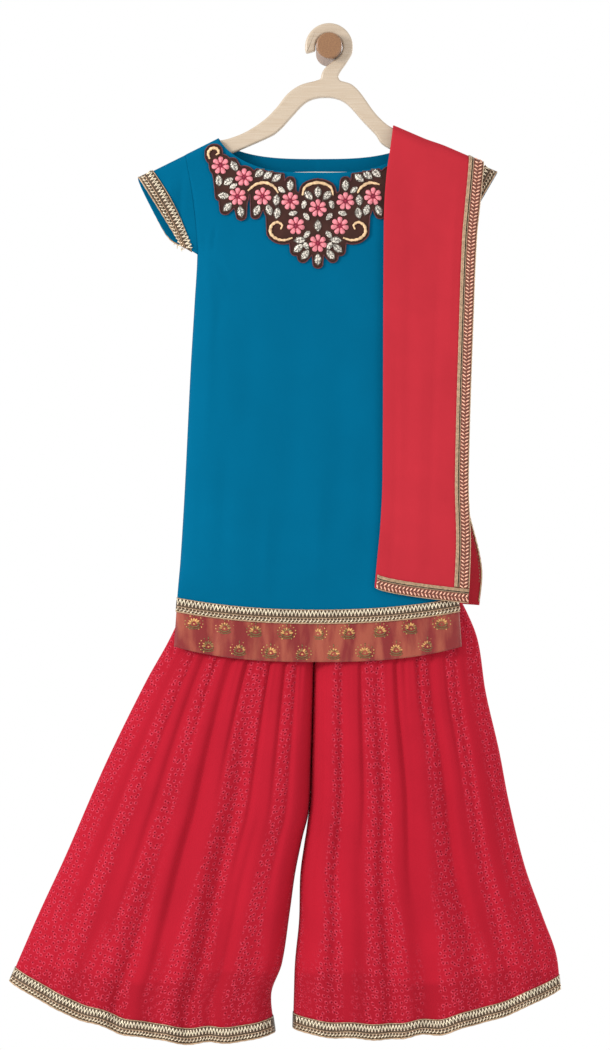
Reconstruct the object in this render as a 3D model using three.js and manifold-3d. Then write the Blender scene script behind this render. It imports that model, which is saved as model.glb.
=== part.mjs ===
// A girl's shalwar kameez, hung with its dupatta on a wooden hanger from a wooden wall peg.
// Millimetres, +Z up. The origin is the middle of the peg's back face, on the wall.
// +X runs along the wall to the viewer's right, and the front of the garment faces -Y.
import * as THREE from 'three';
import { mergeVertices } from 'three/addons/utils/BufferGeometryUtils.js';
import Module from 'manifold-3d';

// Cloth and seams
const CLOTH = 1.2;
const THIN_CLOTH = 1.0;
const SEAM = 0.3;
const LACE = 1.2;
const LACE_WIDTH = 17.5;

// The peg, and the middle plane in which everything hangs
const PEG = { radius: 16.2, length: 75, rim: 2, rimTurn: 0.3, sides: 32 };
const HANG_Y = -55;

// The hanger: a flat board with a hook cut from the same wood
const BOARD = { thickness: 12, bevel: 3, armHeight: 20 };
const HOOK = { inside: 17, outside: 30, from: 196, outsideTo: -10, insideTo: -66 };
const ARM_END = { left: -160, right: 148, underRidge: 0.8, slant: 2, round: 6, cornerDown: 0.7 };

// The hanger's outline from the hook to the arms, by places across the wall and up it. Where
// an arm reaches the shoulder, at SEATED_AT, its top runs on just under the seam.
const HOOK_BACK = [[28.5, -9], [21, -21], [14.5, -30], [12, -36], [13, -42]];
const HOOK_FRONT = [[-10, -40], [-9.5, -34], [-5, -26], [4, -18.5]];
const RIGHT_TOP = [[20, -43.5], [29, -47], [40, -58], [56, -80.5], [69, -94], [82, -102.5]];
const LEFT_TOP = [
  [-124, -114], [-103, -105.5], [-81, -91], [-65, -75], [-52, -58.5], [-36, -47.5], [-18, -42.5],
];
const ARMS_UNDER = [
  [74, -126], [58, -109], [43, -93.5], [24, -72.5], [11, -65], [-3, -63], [-18, -64.5],
  [-31, -71], [-47, -88], [-62.5, -104.5], [-80, -115],
];
const SEATED_AT = { left: -145, right: 112 };

// The kurta, measured from its own middle line
const KURTA = {
  middle: -14,
  neckHalf: 124,
  neckZ: -113.5,
  neckDropFront: 44.5,
  neckDropBack: 24.5,
  slopeLeft: 0.5,
  slopeRight: 0.43,
  shoulderHalf: 165,
  underarmZ: -259,
  ridgeRadius: 8,
  ridgeDepth: 10.7,
  fullDepthBelow: 200,
  spreadBelow: 40,
  neckPower: 3.2,
  neckRound: 0.8,
  slitTop: -640,
  slitFull: -685,
  slitOpen: 0.8,
  hemMid: -702,
  hemRise: 15,
  hemPower: 2.2,
  hemUnderLace: 14,
  bandMid: -767,
  bandRise: 19,
  bandPower: 2.6,
};

// How far the armhole stands open, in two steps from the underarm up to the shoulder
const ARMHOLE = { lowShare: 0.6, lowRise: 30, highShare: 0.4, highFrom: -195, highRise: 35 };

// Half width and half depth of the kurta's body at each height
const BODY = [
  { z: -100, half: 168, depth: 18 },
  { z: -133, half: 165, depth: 19 },
  { z: -180, half: 157, depth: 20 },
  { z: -225, half: 152, depth: 21 },
  { z: -259, half: 150.6, depth: 22 },
  { z: -320, half: 154, depth: 23 },
  { z: -403, half: 159, depth: 24 },
  { z: -566, half: 167, depth: 27 },
  { z: -691, half: 175, depth: 29 },
  { z: -780, half: 181, depth: 30 },
];

// Long soft folds of the kurta, pushed outwards; at is a share of the half width
const DRAPE_FRONT = [
  { at: -0.86, from: -270, to: -520, wide: 0.05, high: 2.2 },
  { at: -0.55, from: -380, to: -800, wide: 0.12, high: 1.6 },
  { at: 0.42, from: -420, to: -800, wide: 0.14, high: 1.4 },
  { at: 0.86, from: -270, to: -480, wide: 0.05, high: 2.0 },
];
const DRAPE_BACK = [
  { at: -0.8, from: -265, to: -560, wide: 0.06, high: 2.4 },
  { at: -0.4, from: -240, to: -800, wide: 0.13, high: 1.8 },
  { at: 0.35, from: -330, to: -800, wide: 0.12, high: 1.6 },
  { at: 0.8, from: -265, to: -520, wide: 0.06, high: 2.2 },
];

// The cap sleeve's hem, and how far the back of its mouth bows out past the front: early from
// the shoulder, then evenly, and quickly back at the underarm
const SLEEVE = {
  tipOut: 59.5,
  hemBottomX: 170,
  hemBottomZ: -247,
  mouthDepth: 9,
  mouthRound: 0.6,
  backBowLeft: 13,
  backBowRight: 1.5,
  bowRise: 0.6,
  bowEnd: 14,
  trimTop: 0.7,
  trimBottom: 0.36,
  laceSeat: 0.8,
};

// The yoke of velvet applique: its motifs by distance from the kurta's middle line and by
// height. All but those on the middle line come on both sides.
const FLOWERS = [
  [0, -247], [0, -203], [27, -225], [34, -194], [68, -188], [91, -164], [99, -188], [120, -149],
];
// A leaf's tip points this many degrees round, from outwards at 0 to upwards at 90.
const LEAVES = [
  [0, -267, -90], [15.5, -261, -50], [22, -243, -5], [24, -253, -40], [0, -225, -90],
  [0, -183, 90], [11.5, -187, 50], [34, -174.5, 90], [51, -165, 140], [61.5, -161.5, 140],
  [72, -159, 140], [60, -205, -110], [75, -205.5, -65], [51, -193, 95], [50, -209, -80],
  [116, -187, 5], [111, -201, -45], [95, -207, -100], [110, -169, -35], [122, -168, -95],
  [103, -150, 60],
];
const ARCHED_CORD = [[-19, -187], [-15, -176], [0, -171], [15, -176], [19, -187]];
const CORDS = [
  [[86, -181], [76, -173], [64, -171], [54, -176], [48.5, -184]],
  [[31, -240], [41, -243], [51, -241], [58, -234], [57, -225], [50, -220.5], [44, -224], [45.5, -229.5]],
  [[133, -141], [135, -134], [131, -128], [124.5, -128], [122, -133], [125.5, -136]],
];
const YOKE = {
  flowerRadius: 11.3,
  petals: 7,
  flowerTurn: 0.2,
  petalDip: 0.72,
  petalReach: 1.04,
  leafLong: 8,
  leafWide: 4.3,
  leafSides: 5,
  leafEnds: 4.4,
  cord: 1.9,
  cordEnds: 0.45,
  cordSides: 5,
  cordSteps: 1.4,
  cordLift: 0.3,
  high: 1.8,
  root: 0.8,
  seat: 0.45,
  margin: 3,
  underNeckline: 2.5,
  endInside: 0.8,
  columnStep: 4.7,
  rows: [0, 0.37, 0.69, 1],
  discSteps: 4,
  tiltOver: 4,
  coveredFrom: 78,
  leastDetail: 0.05,
};

// The sharara: waistband, rise and two flared legs
const WAIST = { top: -560, height: 30, half: 115, spans: 14 };
const LEG = {
  riseTop: -680,
  crotchZ: -790,
  sagPower: 1.5,
  across: 27,
  crimps: 9.5,
  crimpHigh: 1.5,
  crimpUntil: 0.15,
  crimpFade: 0.35,
  fluteFrom: 0.2,
  innerSquareness: 6,
  rowOverCrotch: 0.85,
};
const LEG_DEPTH = [
  { z: -590, depth: 23 },
  { z: -700, depth: 23 },
  { z: -770, depth: 24.5 },
  { z: -850, depth: 29 },
  { z: -1000, depth: 33 },
  { z: -1250, depth: 35 },
];
const LEGS = {
  left: {
    sign: -1,
    sag: 34,
    hemInner: -1229,
    hemOuter: -1166,
    inner: [
      { z: -590, x: -14.2 }, { z: -770, x: -19.1 }, { z: -900, x: -22.6 }, { z: -949, x: -25 },
      { z: -996, x: -35 }, { z: -1034, x: -42.5 },
      { z: -1081, x: -49 }, { z: -1146, x: -59 }, { z: -1182, x: -72 }, { z: -1229, x: -67.5 },
    ],
    outer: [
      { z: -590, x: -128 }, { z: -640, x: -150 }, { z: -690, x: -176 }, { z: -741, x: -200 },
      { z: -793, x: -229 }, { z: -897, x: -280 }, { z: -1012, x: -330 }, { z: -1081, x: -362 },
      { z: -1166, x: -399 },
    ],
    front: [
      { top: 0.08, hem: 0.06, wide: 0.05, high: 5 },
      { top: 0.24, hem: 0.18, wide: 0.07, high: 8 },
      { top: 0.38, hem: 0.29, wide: 0.03, high: 3 },
      { top: 0.52, hem: 0.38, wide: 0.055, high: 11 },
      { top: 0.66, hem: 0.53, wide: 0.05, high: 7 },
      { top: 0.78, hem: 0.67, wide: 0.05, high: 8 },
      { top: 0.89, hem: 0.81, wide: 0.045, high: 6 },
    ],
    back: [
      { top: 0.1, hem: 0.09, wide: 0.05, high: 6 },
      { top: 0.25, hem: 0.24, wide: 0.06, high: 9 },
      { top: 0.42, hem: 0.4, wide: 0.06, high: 8 },
      { top: 0.57, hem: 0.56, wide: 0.05, high: 10 },
      { top: 0.72, hem: 0.7, wide: 0.05, high: 8 },
      { top: 0.87, hem: 0.84, wide: 0.045, high: 6 },
    ],
  },
  right: {
    sign: 1,
    sag: 29,
    hemInner: -1224,
    hemOuter: -1176,
    inner: [
      { z: -590, x: -13.8 }, { z: -770, x: -18.3 }, { z: -900, x: -21.8 }, { z: -949, x: -23.6 },
      { z: -996, x: -31 }, { z: -1034, x: -36 },
      { z: -1091, x: -37.5 }, { z: -1142, x: -42.5 }, { z: -1184, x: -44 }, { z: -1224, x: -45 },
    ],
    outer: [
      { z: -590, x: 100 }, { z: -640, x: 134 }, { z: -670, x: 152 }, { z: -703, x: 171 },
      { z: -741, x: 186 }, { z: -806, x: 196 }, { z: -878, x: 212.5 }, { z: -943, x: 225 },
      { z: -1024, x: 245 }, { z: -1087, x: 267.5 }, { z: -1133, x: 284 }, { z: -1176, x: 289 },
    ],
    front: [
      { top: 0.1, hem: 0.1, wide: 0.05, high: 6 },
      { top: 0.24, hem: 0.22, wide: 0.045, high: 5 },
      { top: 0.36, hem: 0.32, wide: 0.04, high: 4 },
      { top: 0.46, hem: 0.43, wide: 0.05, high: 8 },
      { top: 0.55, hem: 0.61, wide: 0.06, high: 11 },
      { top: 0.73, hem: 0.75, wide: 0.05, high: 6 },
      { top: 0.87, hem: 0.87, wide: 0.045, high: 7 },
    ],
    back: [
      { top: 0.08, hem: 0.1, wide: 0.05, high: 7 },
      { top: 0.24, hem: 0.26, wide: 0.06, high: 8 },
      { top: 0.4, hem: 0.41, wide: 0.06, high: 10 },
      { top: 0.56, hem: 0.57, wide: 0.05, high: 7 },
      { top: 0.7, hem: 0.73, wide: 0.05, high: 9 },
      { top: 0.86, hem: 0.87, wide: 0.045, high: 5 },
    ],
  },
};

// The dupatta, folded lengthwise over the right shoulder: its fold edge and its free edge
const DUPATTA = {
  seat: 2.4,
  seamSeat: 0.5,
  seamUntil: 131,
  seamTurn: 30,
  overKurta: 5,
  overHem: 2.4,
  hemFrom: -450,
  hemTurn: 250,
  between: 1,
  lift: 14,
  width: 110,
  shoulderZ: -120,
  topRounds: 6,
  laceShare: 0.84,
  endPower: 0.6,
};
const FRONT_FALL = {
  face: -1,
  foldEdge: [
    { z: -90, x: 81 }, { z: -128, x: 76 }, { z: -163, x: 71 }, { z: -214, x: 68 },
    { z: -541, x: 66 }, { z: -596, x: 63.5 }, { z: -644, x: 59 }, { z: -700, x: 54 },
  ],
  freeEdge: [
    { z: -90, x: 193 }, { z: -143, x: 193 }, { z: -199, x: 188 }, { z: -237, x: 184 },
    { z: -316, x: 180 }, { z: -541, x: 173 }, { z: -620, x: 175.5 }, { z: -700, x: 172.5 },
  ],
  endAtFold: -674,
  endDrop: 20,
};
const BACK_FALL = {
  face: 1,
  foldEdge: [
    { z: -90, x: 81 }, { z: -200, x: 76 }, { z: -450, x: 74 }, { z: -700, x: 66 },
  ],
  freeEdge: [
    { z: -90, x: 193 }, { z: -143, x: 193 }, { z: -199, x: 187 }, { z: -316, x: 177 },
    { z: -480, x: 168 }, { z: -565, x: 174 }, { z: -650, x: 193 }, { z: -705, x: 189 },
  ],
  endAtFold: -684,
  endDrop: 14,
};

const END_CROWDING = 0.07;

// How square the body, the waistband and the legs are across: two would be an ellipse.
const SQUARENESS = 4;

const mix = THREE.MathUtils.lerp;

function smooth(share) {
  return THREE.MathUtils.smoothstep(share, 0, 1);
}

// A smooth reading of one column of a table whose rows run down in z.
function column(rows, key) {
  const slopes = rows.map((row, i) => {
    const before = rows[Math.max(i - 1, 0)];
    const after = rows[Math.min(i + 1, rows.length - 1)];
    return (after[key] - before[key]) / (after.z - before.z);
  });
  return (z) => {
    let i = 0;
    while (i < rows.length - 2 && z < rows[i + 1].z) i += 1;
    const step = rows[i + 1].z - rows[i].z;
    const t = THREE.MathUtils.clamp((z - rows[i].z) / step, 0, 1);
    const ends = mix(rows[i][key], rows[i + 1][key], t * t * (3 - 2 * t));
    const lean = t * (1 - t) * step * ((1 - t) * slopes[i] - t * slopes[i + 1]);
    return ends + lean;
  };
}

const bodyHalf = column(BODY, 'half');
const bodyDepth = column(BODY, 'depth');
const legDepth = column(LEG_DEPTH, 'depth');

// A closed wall between two nets of points. Rows run down and columns run across.
// A ring's last column joins its first one; mergeFrom is the row from which the first
// and the last column are one line, as below the crotch of a trouser leg.
function wall(outer, inner, { ring = false, mergeFrom = Infinity } = {}) {
  const rows = outer.length;
  const columns = outer[0].length;
  const positions = [];
  for (const net of [outer, inner]) {
    for (const row of net) {
      for (const point of row) positions.push(point.x, point.y, point.z);
    }
  }
  const at = (face, i, j) => {
    const joined = (ring && j === columns) || (j === columns - 1 && i >= mergeFrom);
    return (face * rows + i) * columns + (joined ? 0 : j);
  };
  const index = [];
  const quad = (a, b, c, d) => index.push(a, b, c, a, c, d);
  const spans = ring ? columns : columns - 1;
  for (let j = 0; j < spans; j += 1) {
    for (let i = 0; i < rows - 1; i += 1) {
      quad(at(0, i, j), at(0, i + 1, j), at(0, i + 1, j + 1), at(0, i, j + 1));
      quad(at(1, i, j), at(1, i, j + 1), at(1, i + 1, j + 1), at(1, i + 1, j));
    }
    quad(at(0, 0, j), at(0, 0, j + 1), at(1, 0, j + 1), at(1, 0, j));
    const low = rows - 1;
    quad(at(0, low, j), at(1, low, j), at(1, low, j + 1), at(0, low, j + 1));
  }
  if (!ring) {
    const last = columns - 1;
    for (let i = 0; i < Math.min(rows - 1, mergeFrom); i += 1) {
      quad(at(0, i, 0), at(1, i, 0), at(1, i + 1, 0), at(0, i + 1, 0));
      quad(at(0, i, last), at(0, i + 1, last), at(1, i + 1, last), at(1, i, last));
    }
  }
  const geometry = new THREE.BufferGeometry();
  geometry.setAttribute('position', new THREE.Float32BufferAttribute(positions, 3));
  geometry.setIndex(index);
  return facingOut(mergeVertices(geometry, 1e-4));
}

// Turns every face round if the body is inside out.
function facingOut(geometry) {
  const position = geometry.getAttribute('position');
  const index = geometry.getIndex();
  const corner = (k) => new THREE.Vector3().fromBufferAttribute(position, index.getX(k));
  let volume = 0;
  for (let k = 0; k < index.count; k += 3) volume += corner(k).dot(corner(k + 1).cross(corner(k + 2)));
  if (volume < 0) {
    for (let k = 0; k < index.count; k += 3) {
      const first = index.getX(k);
      index.setX(k, index.getX(k + 1));
      index.setX(k + 1, first);
    }
  }
  geometry.computeVertexNormals();
  return geometry;
}

function net(rowValues, columnValues, pointAt) {
  return rowValues.map((row) => columnValues.map((value) => pointAt(row, value)));
}

// The line of the shoulder seam, carried on over the neck.
function shoulderLine(x) {
  const slope = x < 0 ? KURTA.slopeLeft : KURTA.slopeRight;
  return KURTA.neckZ - (Math.abs(x) - KURTA.neckHalf) * slope;
}

// How round the cloth turns over the hanger, from 0 on the seam to 1 below it.
function ridge(drop) {
  const share = 1 - THREE.MathUtils.clamp(drop / KURTA.ridgeRadius, 0, 1);
  return Math.sqrt(1 - share * share);
}

function hangDepth(drop, z) {
  return mix(KURTA.ridgeDepth, bodyDepth(z), smooth(drop / KURTA.fullDepthBelow));
}

// Share of the depth to which front and back stand apart at the side: armhole and side slit.
function sideOpening(z) {
  const low = ARMHOLE.lowShare * smooth((z - KURTA.underarmZ) / ARMHOLE.lowRise);
  const high = ARMHOLE.highShare * smooth((z - ARMHOLE.highFrom) / ARMHOLE.highRise);
  const slit = KURTA.slitOpen * smooth((KURTA.slitTop - z) / (KURTA.slitTop - KURTA.slitFull));
  return low + high + slit;
}

function drape(face, share, z) {
  const folds = face < 0 ? DRAPE_FRONT : DRAPE_BACK;
  let height = 0;
  for (const fold of folds) {
    const along = (fold.from - z) / (fold.from - fold.to);
    if (along <= 0 || along >= 1) continue;
    const across = (share - fold.at) / fold.wide;
    height += fold.high * Math.sin(Math.PI * along) * Math.exp(-across * across);
  }
  return height;
}

// A point on the kurta's outside, moved out; share runs -1 to 1 across, face is -1 in front.
function kurtaPoint(face, share, z, out) {
  const x = share * (bodyHalf(z) + out);
  const drop = shoulderLine(x) + out - z;
  const section = mix(Math.sqrt(1 - share ** SQUARENESS), 1, sideOpening(z));
  const depth = (hangDepth(drop, z) + out) * ridge(drop) + drape(face, share, z);
  return new THREE.Vector3(KURTA.middle + x, HANG_Y + face * (SEAM / 2 + depth * section), z);
}

function neckline(face, x) {
  const drop = face < 0 ? KURTA.neckDropFront : KURTA.neckDropBack;
  const share = Math.min(Math.abs(x) / KURTA.neckHalf, 1);
  return KURTA.neckZ - drop * (1 - share ** KURTA.neckPower) ** KURTA.neckRound;
}

function panelTop(face, x, out) {
  const seam = shoulderLine(x) + out;
  return Math.abs(x) >= KURTA.neckHalf ? seam : Math.min(neckline(face, x), seam);
}

const hemTop = (share) => KURTA.hemMid + KURTA.hemRise * Math.abs(share) ** KURTA.hemPower;
const bandBottom = (share) => KURTA.bandMid + KURTA.bandRise * Math.abs(share) ** KURTA.bandPower;

const HALF_COLUMNS = [26, 52, 76, 96, 110, 119, 122.4, 123.5, KURTA.neckHalf, 136, 150, KURTA.shoulderHalf];
const PANEL_COLUMNS = [...HALF_COLUMNS.map((x) => -x).reverse(), 0, ...HALF_COLUMNS];
const PANEL_SHARES = PANEL_COLUMNS.map((x) => x / KURTA.shoulderHalf);
const RIDGE_ROWS = [0, 0.35, 1.4, 4, 10];
const BODY_SHARES = [0.055, 0.115, 0.18, 0.26, 0.4, 0.7, 1];

// Front or back of the kurta, down to where the lace covers the joint with the band.
function kurtaPanel(face) {
  const rows = RIDGE_ROWS.length + BODY_SHARES.length + 2;
  const layer = (out) => {
    const points = [];
    for (let i = 0; i < rows; i += 1) {
      points.push(PANEL_COLUMNS.map((x) => {
        const share = x / KURTA.shoulderHalf;
        const top = panelTop(face, x, out);
        const afterRidge = i - RIDGE_ROWS.length;
        const afterBody = afterRidge - BODY_SHARES.length;
        const below = top - RIDGE_ROWS.at(-1);
        let z = top - RIDGE_ROWS[Math.min(i, RIDGE_ROWS.length - 1)];
        const bodyShare = BODY_SHARES[Math.min(afterRidge, BODY_SHARES.length - 1)];
        if (afterRidge >= 0) z = mix(below, KURTA.slitTop, bodyShare);
        if (afterBody === 0) z = hemTop(share);
        if (afterBody === 1) z = hemTop(share) - KURTA.hemUnderLace;
        return panelPoint(face, x, z, out);
      }));
    }
    return points;
  };
  return wall(layer(0), layer(-CLOTH));
}

// A panel's column keeps its place at the shoulder and spreads to the body's width below it.
function panelPoint(face, x, z, out) {
  const point = kurtaPoint(face, x / KURTA.shoulderHalf, z, out);
  const spread = smooth((shoulderLine(x) - z) / KURTA.spreadBelow);
  const share = mix(x / (bodyHalf(z) + out), x / KURTA.shoulderHalf, spread);
  return spread < 1 && Math.abs(x) < KURTA.shoulderHalf ? kurtaPoint(face, share, z, out) : point;
}

// A strip round the kurta's front or back between two heights, moved out from the panel.
function kurtaStrip(face, topOf, heights, outside, inside) {
  const layer = (out) => net(heights, PANEL_SHARES, (height, share) => (
    kurtaPoint(face, share, topOf(share) - height(share), out)
  ));
  return wall(layer(outside), layer(inside));
}

function hemLace(face) {
  const heights = [() => 0, () => LACE_WIDTH];
  return kurtaStrip(face, hemTop, heights, SEAM + LACE, SEAM);
}

function hemBand(face) {
  const start = KURTA.hemUnderLace + SEAM;
  const heights = [
    () => start,
    () => LACE_WIDTH,
    (share) => hemTop(share) - bandBottom(share),
  ];
  return kurtaStrip(face, hemTop, heights, 0, -CLOTH);
}

// A point on the cap sleeve. along runs from the armhole to the hem; round runs 0 to 1 down
// the front and 1 to 2 up the back.
function sleevePoint(sign, along, round, out) {
  const front = round <= 1;
  const down = front ? round : 2 - round;
  const face = front ? -1 : 1;
  const top = shoulderLine(sign * KURTA.shoulderHalf);
  const armholeZ = mix(top + out, KURTA.underarmZ - out, down);
  const armholeX = bodyHalf(mix(top, KURTA.underarmZ, down)) + SEAM;
  const tipX = KURTA.shoulderHalf + SLEEVE.tipOut;
  const hemX = mix(tipX, SLEEVE.hemBottomX, down);
  const hemZ = mix(shoulderLine(sign * tipX) + out, SLEEVE.hemBottomZ - out, down);
  const backBow = sign < 0 ? SLEEVE.backBowLeft : SLEEVE.backBowRight;
  const bow = front ? 0 : backBow * down ** SLEEVE.bowRise * (1 - down ** SLEEVE.bowEnd);
  const openness = ridge(armholeEdgeDrop(sign, armholeZ, out)) * sideOpening(armholeZ);
  const armholeY = (hangDepth(0, armholeZ) + out) * openness;
  const mouthY = (SLEEVE.mouthDepth + out) * Math.sin(Math.PI * down) ** SLEEVE.mouthRound;
  const x = mix(armholeX, hemX + bow, along);
  const z = mix(armholeZ, hemZ, along);
  const y = HANG_Y + face * mix(armholeY, mouthY, along);
  return new THREE.Vector3(KURTA.middle + sign * x, y, z);
}

function armholeEdgeDrop(sign, z, out) {
  return shoulderLine(sign * KURTA.shoulderHalf) + out - z;
}

const SLEEVE_ROUND = [0, 0.02, 0.06, 0.14, 0.3, 0.5, 0.7, 0.88, 0.97];
const SLEEVE_LOOP = [
  ...SLEEVE_ROUND, 1, ...SLEEVE_ROUND.slice(1).reverse().map((down) => 2 - down),
];

const SLEEVE_ROWS = [0, 0.35, SLEEVE.trimTop, 1];

function sleeve(sign) {
  const layer = (out) => net(SLEEVE_ROWS, SLEEVE_LOOP, (along, round) => (
    sleevePoint(sign, along, round, out)
  ));
  return wall(layer(0), layer(-CLOTH), { ring: true });
}

function sleeveLace(sign) {
  const layer = (out) => net([0, 1], SLEEVE_LOOP, (share, round) => {
    const down = round <= 1 ? round : 2 - round;
    const start = mix(SLEEVE.trimTop, SLEEVE.trimBottom, down);
    return sleevePoint(sign, mix(start, 1, share), round, out);
  });
  return wall(layer(SLEEVE.laceSeat + LACE), layer(SLEEVE.laceSeat), { ring: true });
}

// The waistband lies against the kurta's inside, front and back.
function waistPoint(round, z, out) {
  const front = round <= 1;
  const across = front ? mix(-1, 1, round) : mix(1, -1, round - 1);
  const face = front ? -1 : 1;
  const depth = hangDepth(KURTA.fullDepthBelow, z) - CLOTH - SEAM + out;
  const x = across * (WAIST.half + out);
  const y = HANG_Y + face * depth * Math.sqrt(1 - across ** SQUARENESS);
  return new THREE.Vector3(KURTA.middle + x, y, z);
}

function waistband() {
  const rounds = Array.from({ length: WAIST.spans * 2 }, (_, k) => k / WAIST.spans);
  const eased = rounds.map((round) => Math.floor(round) + easeEnds(round % 1));
  const heights = [WAIST.top, WAIST.top - WAIST.height];
  const layer = (out) => net(heights, eased, (z, round) => waistPoint(round, z, out));
  return wall(layer(0), layer(-CLOTH), { ring: true });
}

// Puts more columns near both ends of a span, where the cloth turns round.
function easeEnds(share) {
  return share - END_CROWDING * Math.sin(2 * Math.PI * share);
}

function legFolds(leg, face, across, down) {
  const rows = face < 0 ? leg.front : leg.back;
  const crimped = LEG.crimpHigh * (1 - smooth((down - LEG.crimpUntil) / LEG.crimpFade));
  const fluted = smooth((down - LEG.fluteFrom) / (1 - LEG.fluteFrom));
  let height = crimped * Math.cos(2 * Math.PI * LEG.crimps * across);
  for (const fold of rows) {
    const off = (across - mix(fold.top, fold.hem, down)) / fold.wide;
    height += mix(1, fold.high, fluted) * Math.exp(-off * off);
  }
  return height;
}

// A point on a leg. down runs from the waistband to the hem, across from the inner edge to
// the outer one, and closing is 0 where the leg is open to the other one, above the crotch.
function legPoint(leg, edges, down, across, face, out) {
  const top = WAIST.top - WAIST.height - SEAM;
  const innerZ = mix(top, leg.hemInner, down);
  const outerZ = mix(top, leg.hemOuter, down);
  const closing = smooth((LEG.riseTop - innerZ) / (LEG.riseTop - LEG.crotchZ));
  const innerX = edges.inner(innerZ) - leg.sign * out * closing;
  const outerX = edges.outer(outerZ) + leg.sign * out;
  const sag = leg.sag * down ** LEG.sagPower * 4 * across * (1 - across);
  const z = mix(innerZ, outerZ, across) - sag;
  const shut = 1 - closing * (1 - Math.sqrt(1 - (1 - across) ** LEG.innerSquareness));
  const section = Math.sqrt(1 - across ** SQUARENESS) * shut;
  const depth = legDepth(z) + out + legFolds(leg, face, across, down);
  return new THREE.Vector3(mix(innerX, outerX, across), HANG_Y + face * depth * section, z);
}

const LEG_ACROSS = Array.from({ length: LEG.across + 1 }, (_, k) => easeEnds(k / LEG.across));
const LEG_LOOP = [
  ...LEG_ACROSS.map((across) => ({ across, face: -1 })),
  ...LEG_ACROSS.slice(0, -1).reverse().map((across) => ({ across, face: 1 })),
];

function legEdges(leg) {
  return { inner: column(leg.inner, 'x'), outer: column(leg.outer, 'x') };
}

function legLaceTop(leg) {
  return 1 - LACE_WIDTH / (WAIST.top - WAIST.height - leg.hemOuter);
}

const RISE_ROWS = [0, 0.1, 0.19];
const FLARE_ROWS = [0.41, 0.52, 0.63, 0.74, 0.86];

function trouserLeg(leg) {
  const edges = legEdges(leg);
  const top = WAIST.top - WAIST.height - SEAM;
  const crotch = (LEG.crotchZ - top) / (leg.hemInner - top);
  const downs = [...RISE_ROWS, crotch * LEG.rowOverCrotch, crotch, ...FLARE_ROWS, legLaceTop(leg), 1];
  const layer = (out) => net(downs, LEG_LOOP, (down, spot) => (
    legPoint(leg, edges, down, spot.across, spot.face, out)
  ));
  return wall(layer(0), layer(-CLOTH), { mergeFrom: downs.indexOf(crotch) });
}

function legLace(leg) {
  const edges = legEdges(leg);
  const loop = LEG_LOOP.slice(0, -1);
  const layer = (out) => net([legLaceTop(leg), 1], loop, (down, spot) => (
    legPoint(leg, edges, down, spot.across, spot.face, out)
  ));
  return wall(layer(SEAM + LACE), layer(SEAM), { ring: true });
}

// The dupatta rests on the shoulder seam, and farther out it lies over the sleeve's lace.
function fallSeat(x) {
  return mix(DUPATTA.seamSeat, DUPATTA.seat, smooth((x - DUPATTA.seamUntil) / DUPATTA.seamTurn));
}

// A point of a dupatta fall. level is its height over the kurta in the pile of the two layers.
function fallPoint(fall, edges, across, z, level) {
  const x = mix(edges.fold(z), edges.free(z), across) - KURTA.middle;
  const seat = fallSeat(x);
  const drop = shoulderLine(x) + seat + level - z;
  const clear = mix(DUPATTA.overKurta, DUPATTA.overHem, smooth((DUPATTA.hemFrom - z) / DUPATTA.hemTurn));
  const lifted = mix(seat, clear, smooth(drop / DUPATTA.lift));
  const depth = (hangDepth(drop, z) + lifted + level) * ridge(drop);
  return new THREE.Vector3(KURTA.middle + x, HANG_Y + fall.face * (SEAM / 2 + depth), z);
}

function fallEdges(fall) {
  return { fold: column(fall.foldEdge, 'x'), free: column(fall.freeEdge, 'x') };
}

function fallBottom(fall, across) {
  return fall.endAtFold - fall.endDrop * across ** DUPATTA.endPower;
}

const FALL_RIDGE = [0, 0.6, 2.5, 6, 12, 24];
const FALL_SHARES = [0.1, 0.25, 0.42, 0.6, 0.8, 1];
const FALL_COLUMNS = [1, DUPATTA.laceShare, 0.6, 0.35, 0.12, 0.03];

// The height at which the fall crosses the shoulder, found by a few rounds from a first guess.
function fallTop(edges, across, level) {
  let z = DUPATTA.shoulderZ;
  for (let round = 0; round < DUPATTA.topRounds; round += 1) {
    const x = mix(edges.fold(z), edges.free(z), across) - KURTA.middle;
    z = shoulderLine(x) + fallSeat(x) + level;
  }
  return z;
}

// Height of a dupatta row: round the shoulder first, then in shares down to the end lace.
function fallHeight(fall, edges, row, across, level) {
  const top = fallTop(edges, across, level);
  if (row < FALL_RIDGE.length) return top - FALL_RIDGE[row];
  const laceTop = fallBottom(fall, across) + LACE_WIDTH;
  const share = FALL_SHARES[Math.min(row - FALL_RIDGE.length, FALL_SHARES.length - 1)];
  const isEnd = row - FALL_RIDGE.length >= FALL_SHARES.length;
  return isEnd ? fallBottom(fall, across) : mix(top - FALL_RIDGE.at(-1), laceTop, share);
}

const FALL_ROWS = FALL_RIDGE.length + FALL_SHARES.length + 1;

function fallNet(fall, rows, spots) {
  const edges = fallEdges(fall);
  return net(rows, spots, (row, spot) => {
    const z = fallHeight(fall, edges, row, spot.across, spot.level);
    return fallPoint(fall, edges, spot.across, z, spot.level);
  });
}

// The fall is one cloth folded in two: the outer layer, the fold, then the under layer.
function dupattaFall(fall) {
  const thick = THIN_CLOTH;
  const pile = 2 * thick + DUPATTA.between;
  const path = (outerLevel, underLevel, foldAt) => [
    ...FALL_COLUMNS.map((across) => ({ across, level: outerLevel })),
    { across: foldAt, level: pile / 2 },
    ...FALL_COLUMNS.slice().reverse().map((across) => ({ across, level: underLevel })),
  ];
  const rows = Array.from({ length: FALL_ROWS }, (_, k) => k);
  const outside = fallNet(fall, rows, path(pile, 0, 0));
  const inside = fallNet(fall, rows, path(pile - thick, thick, thick / DUPATTA.width));
  return wall(outside, inside);
}

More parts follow.
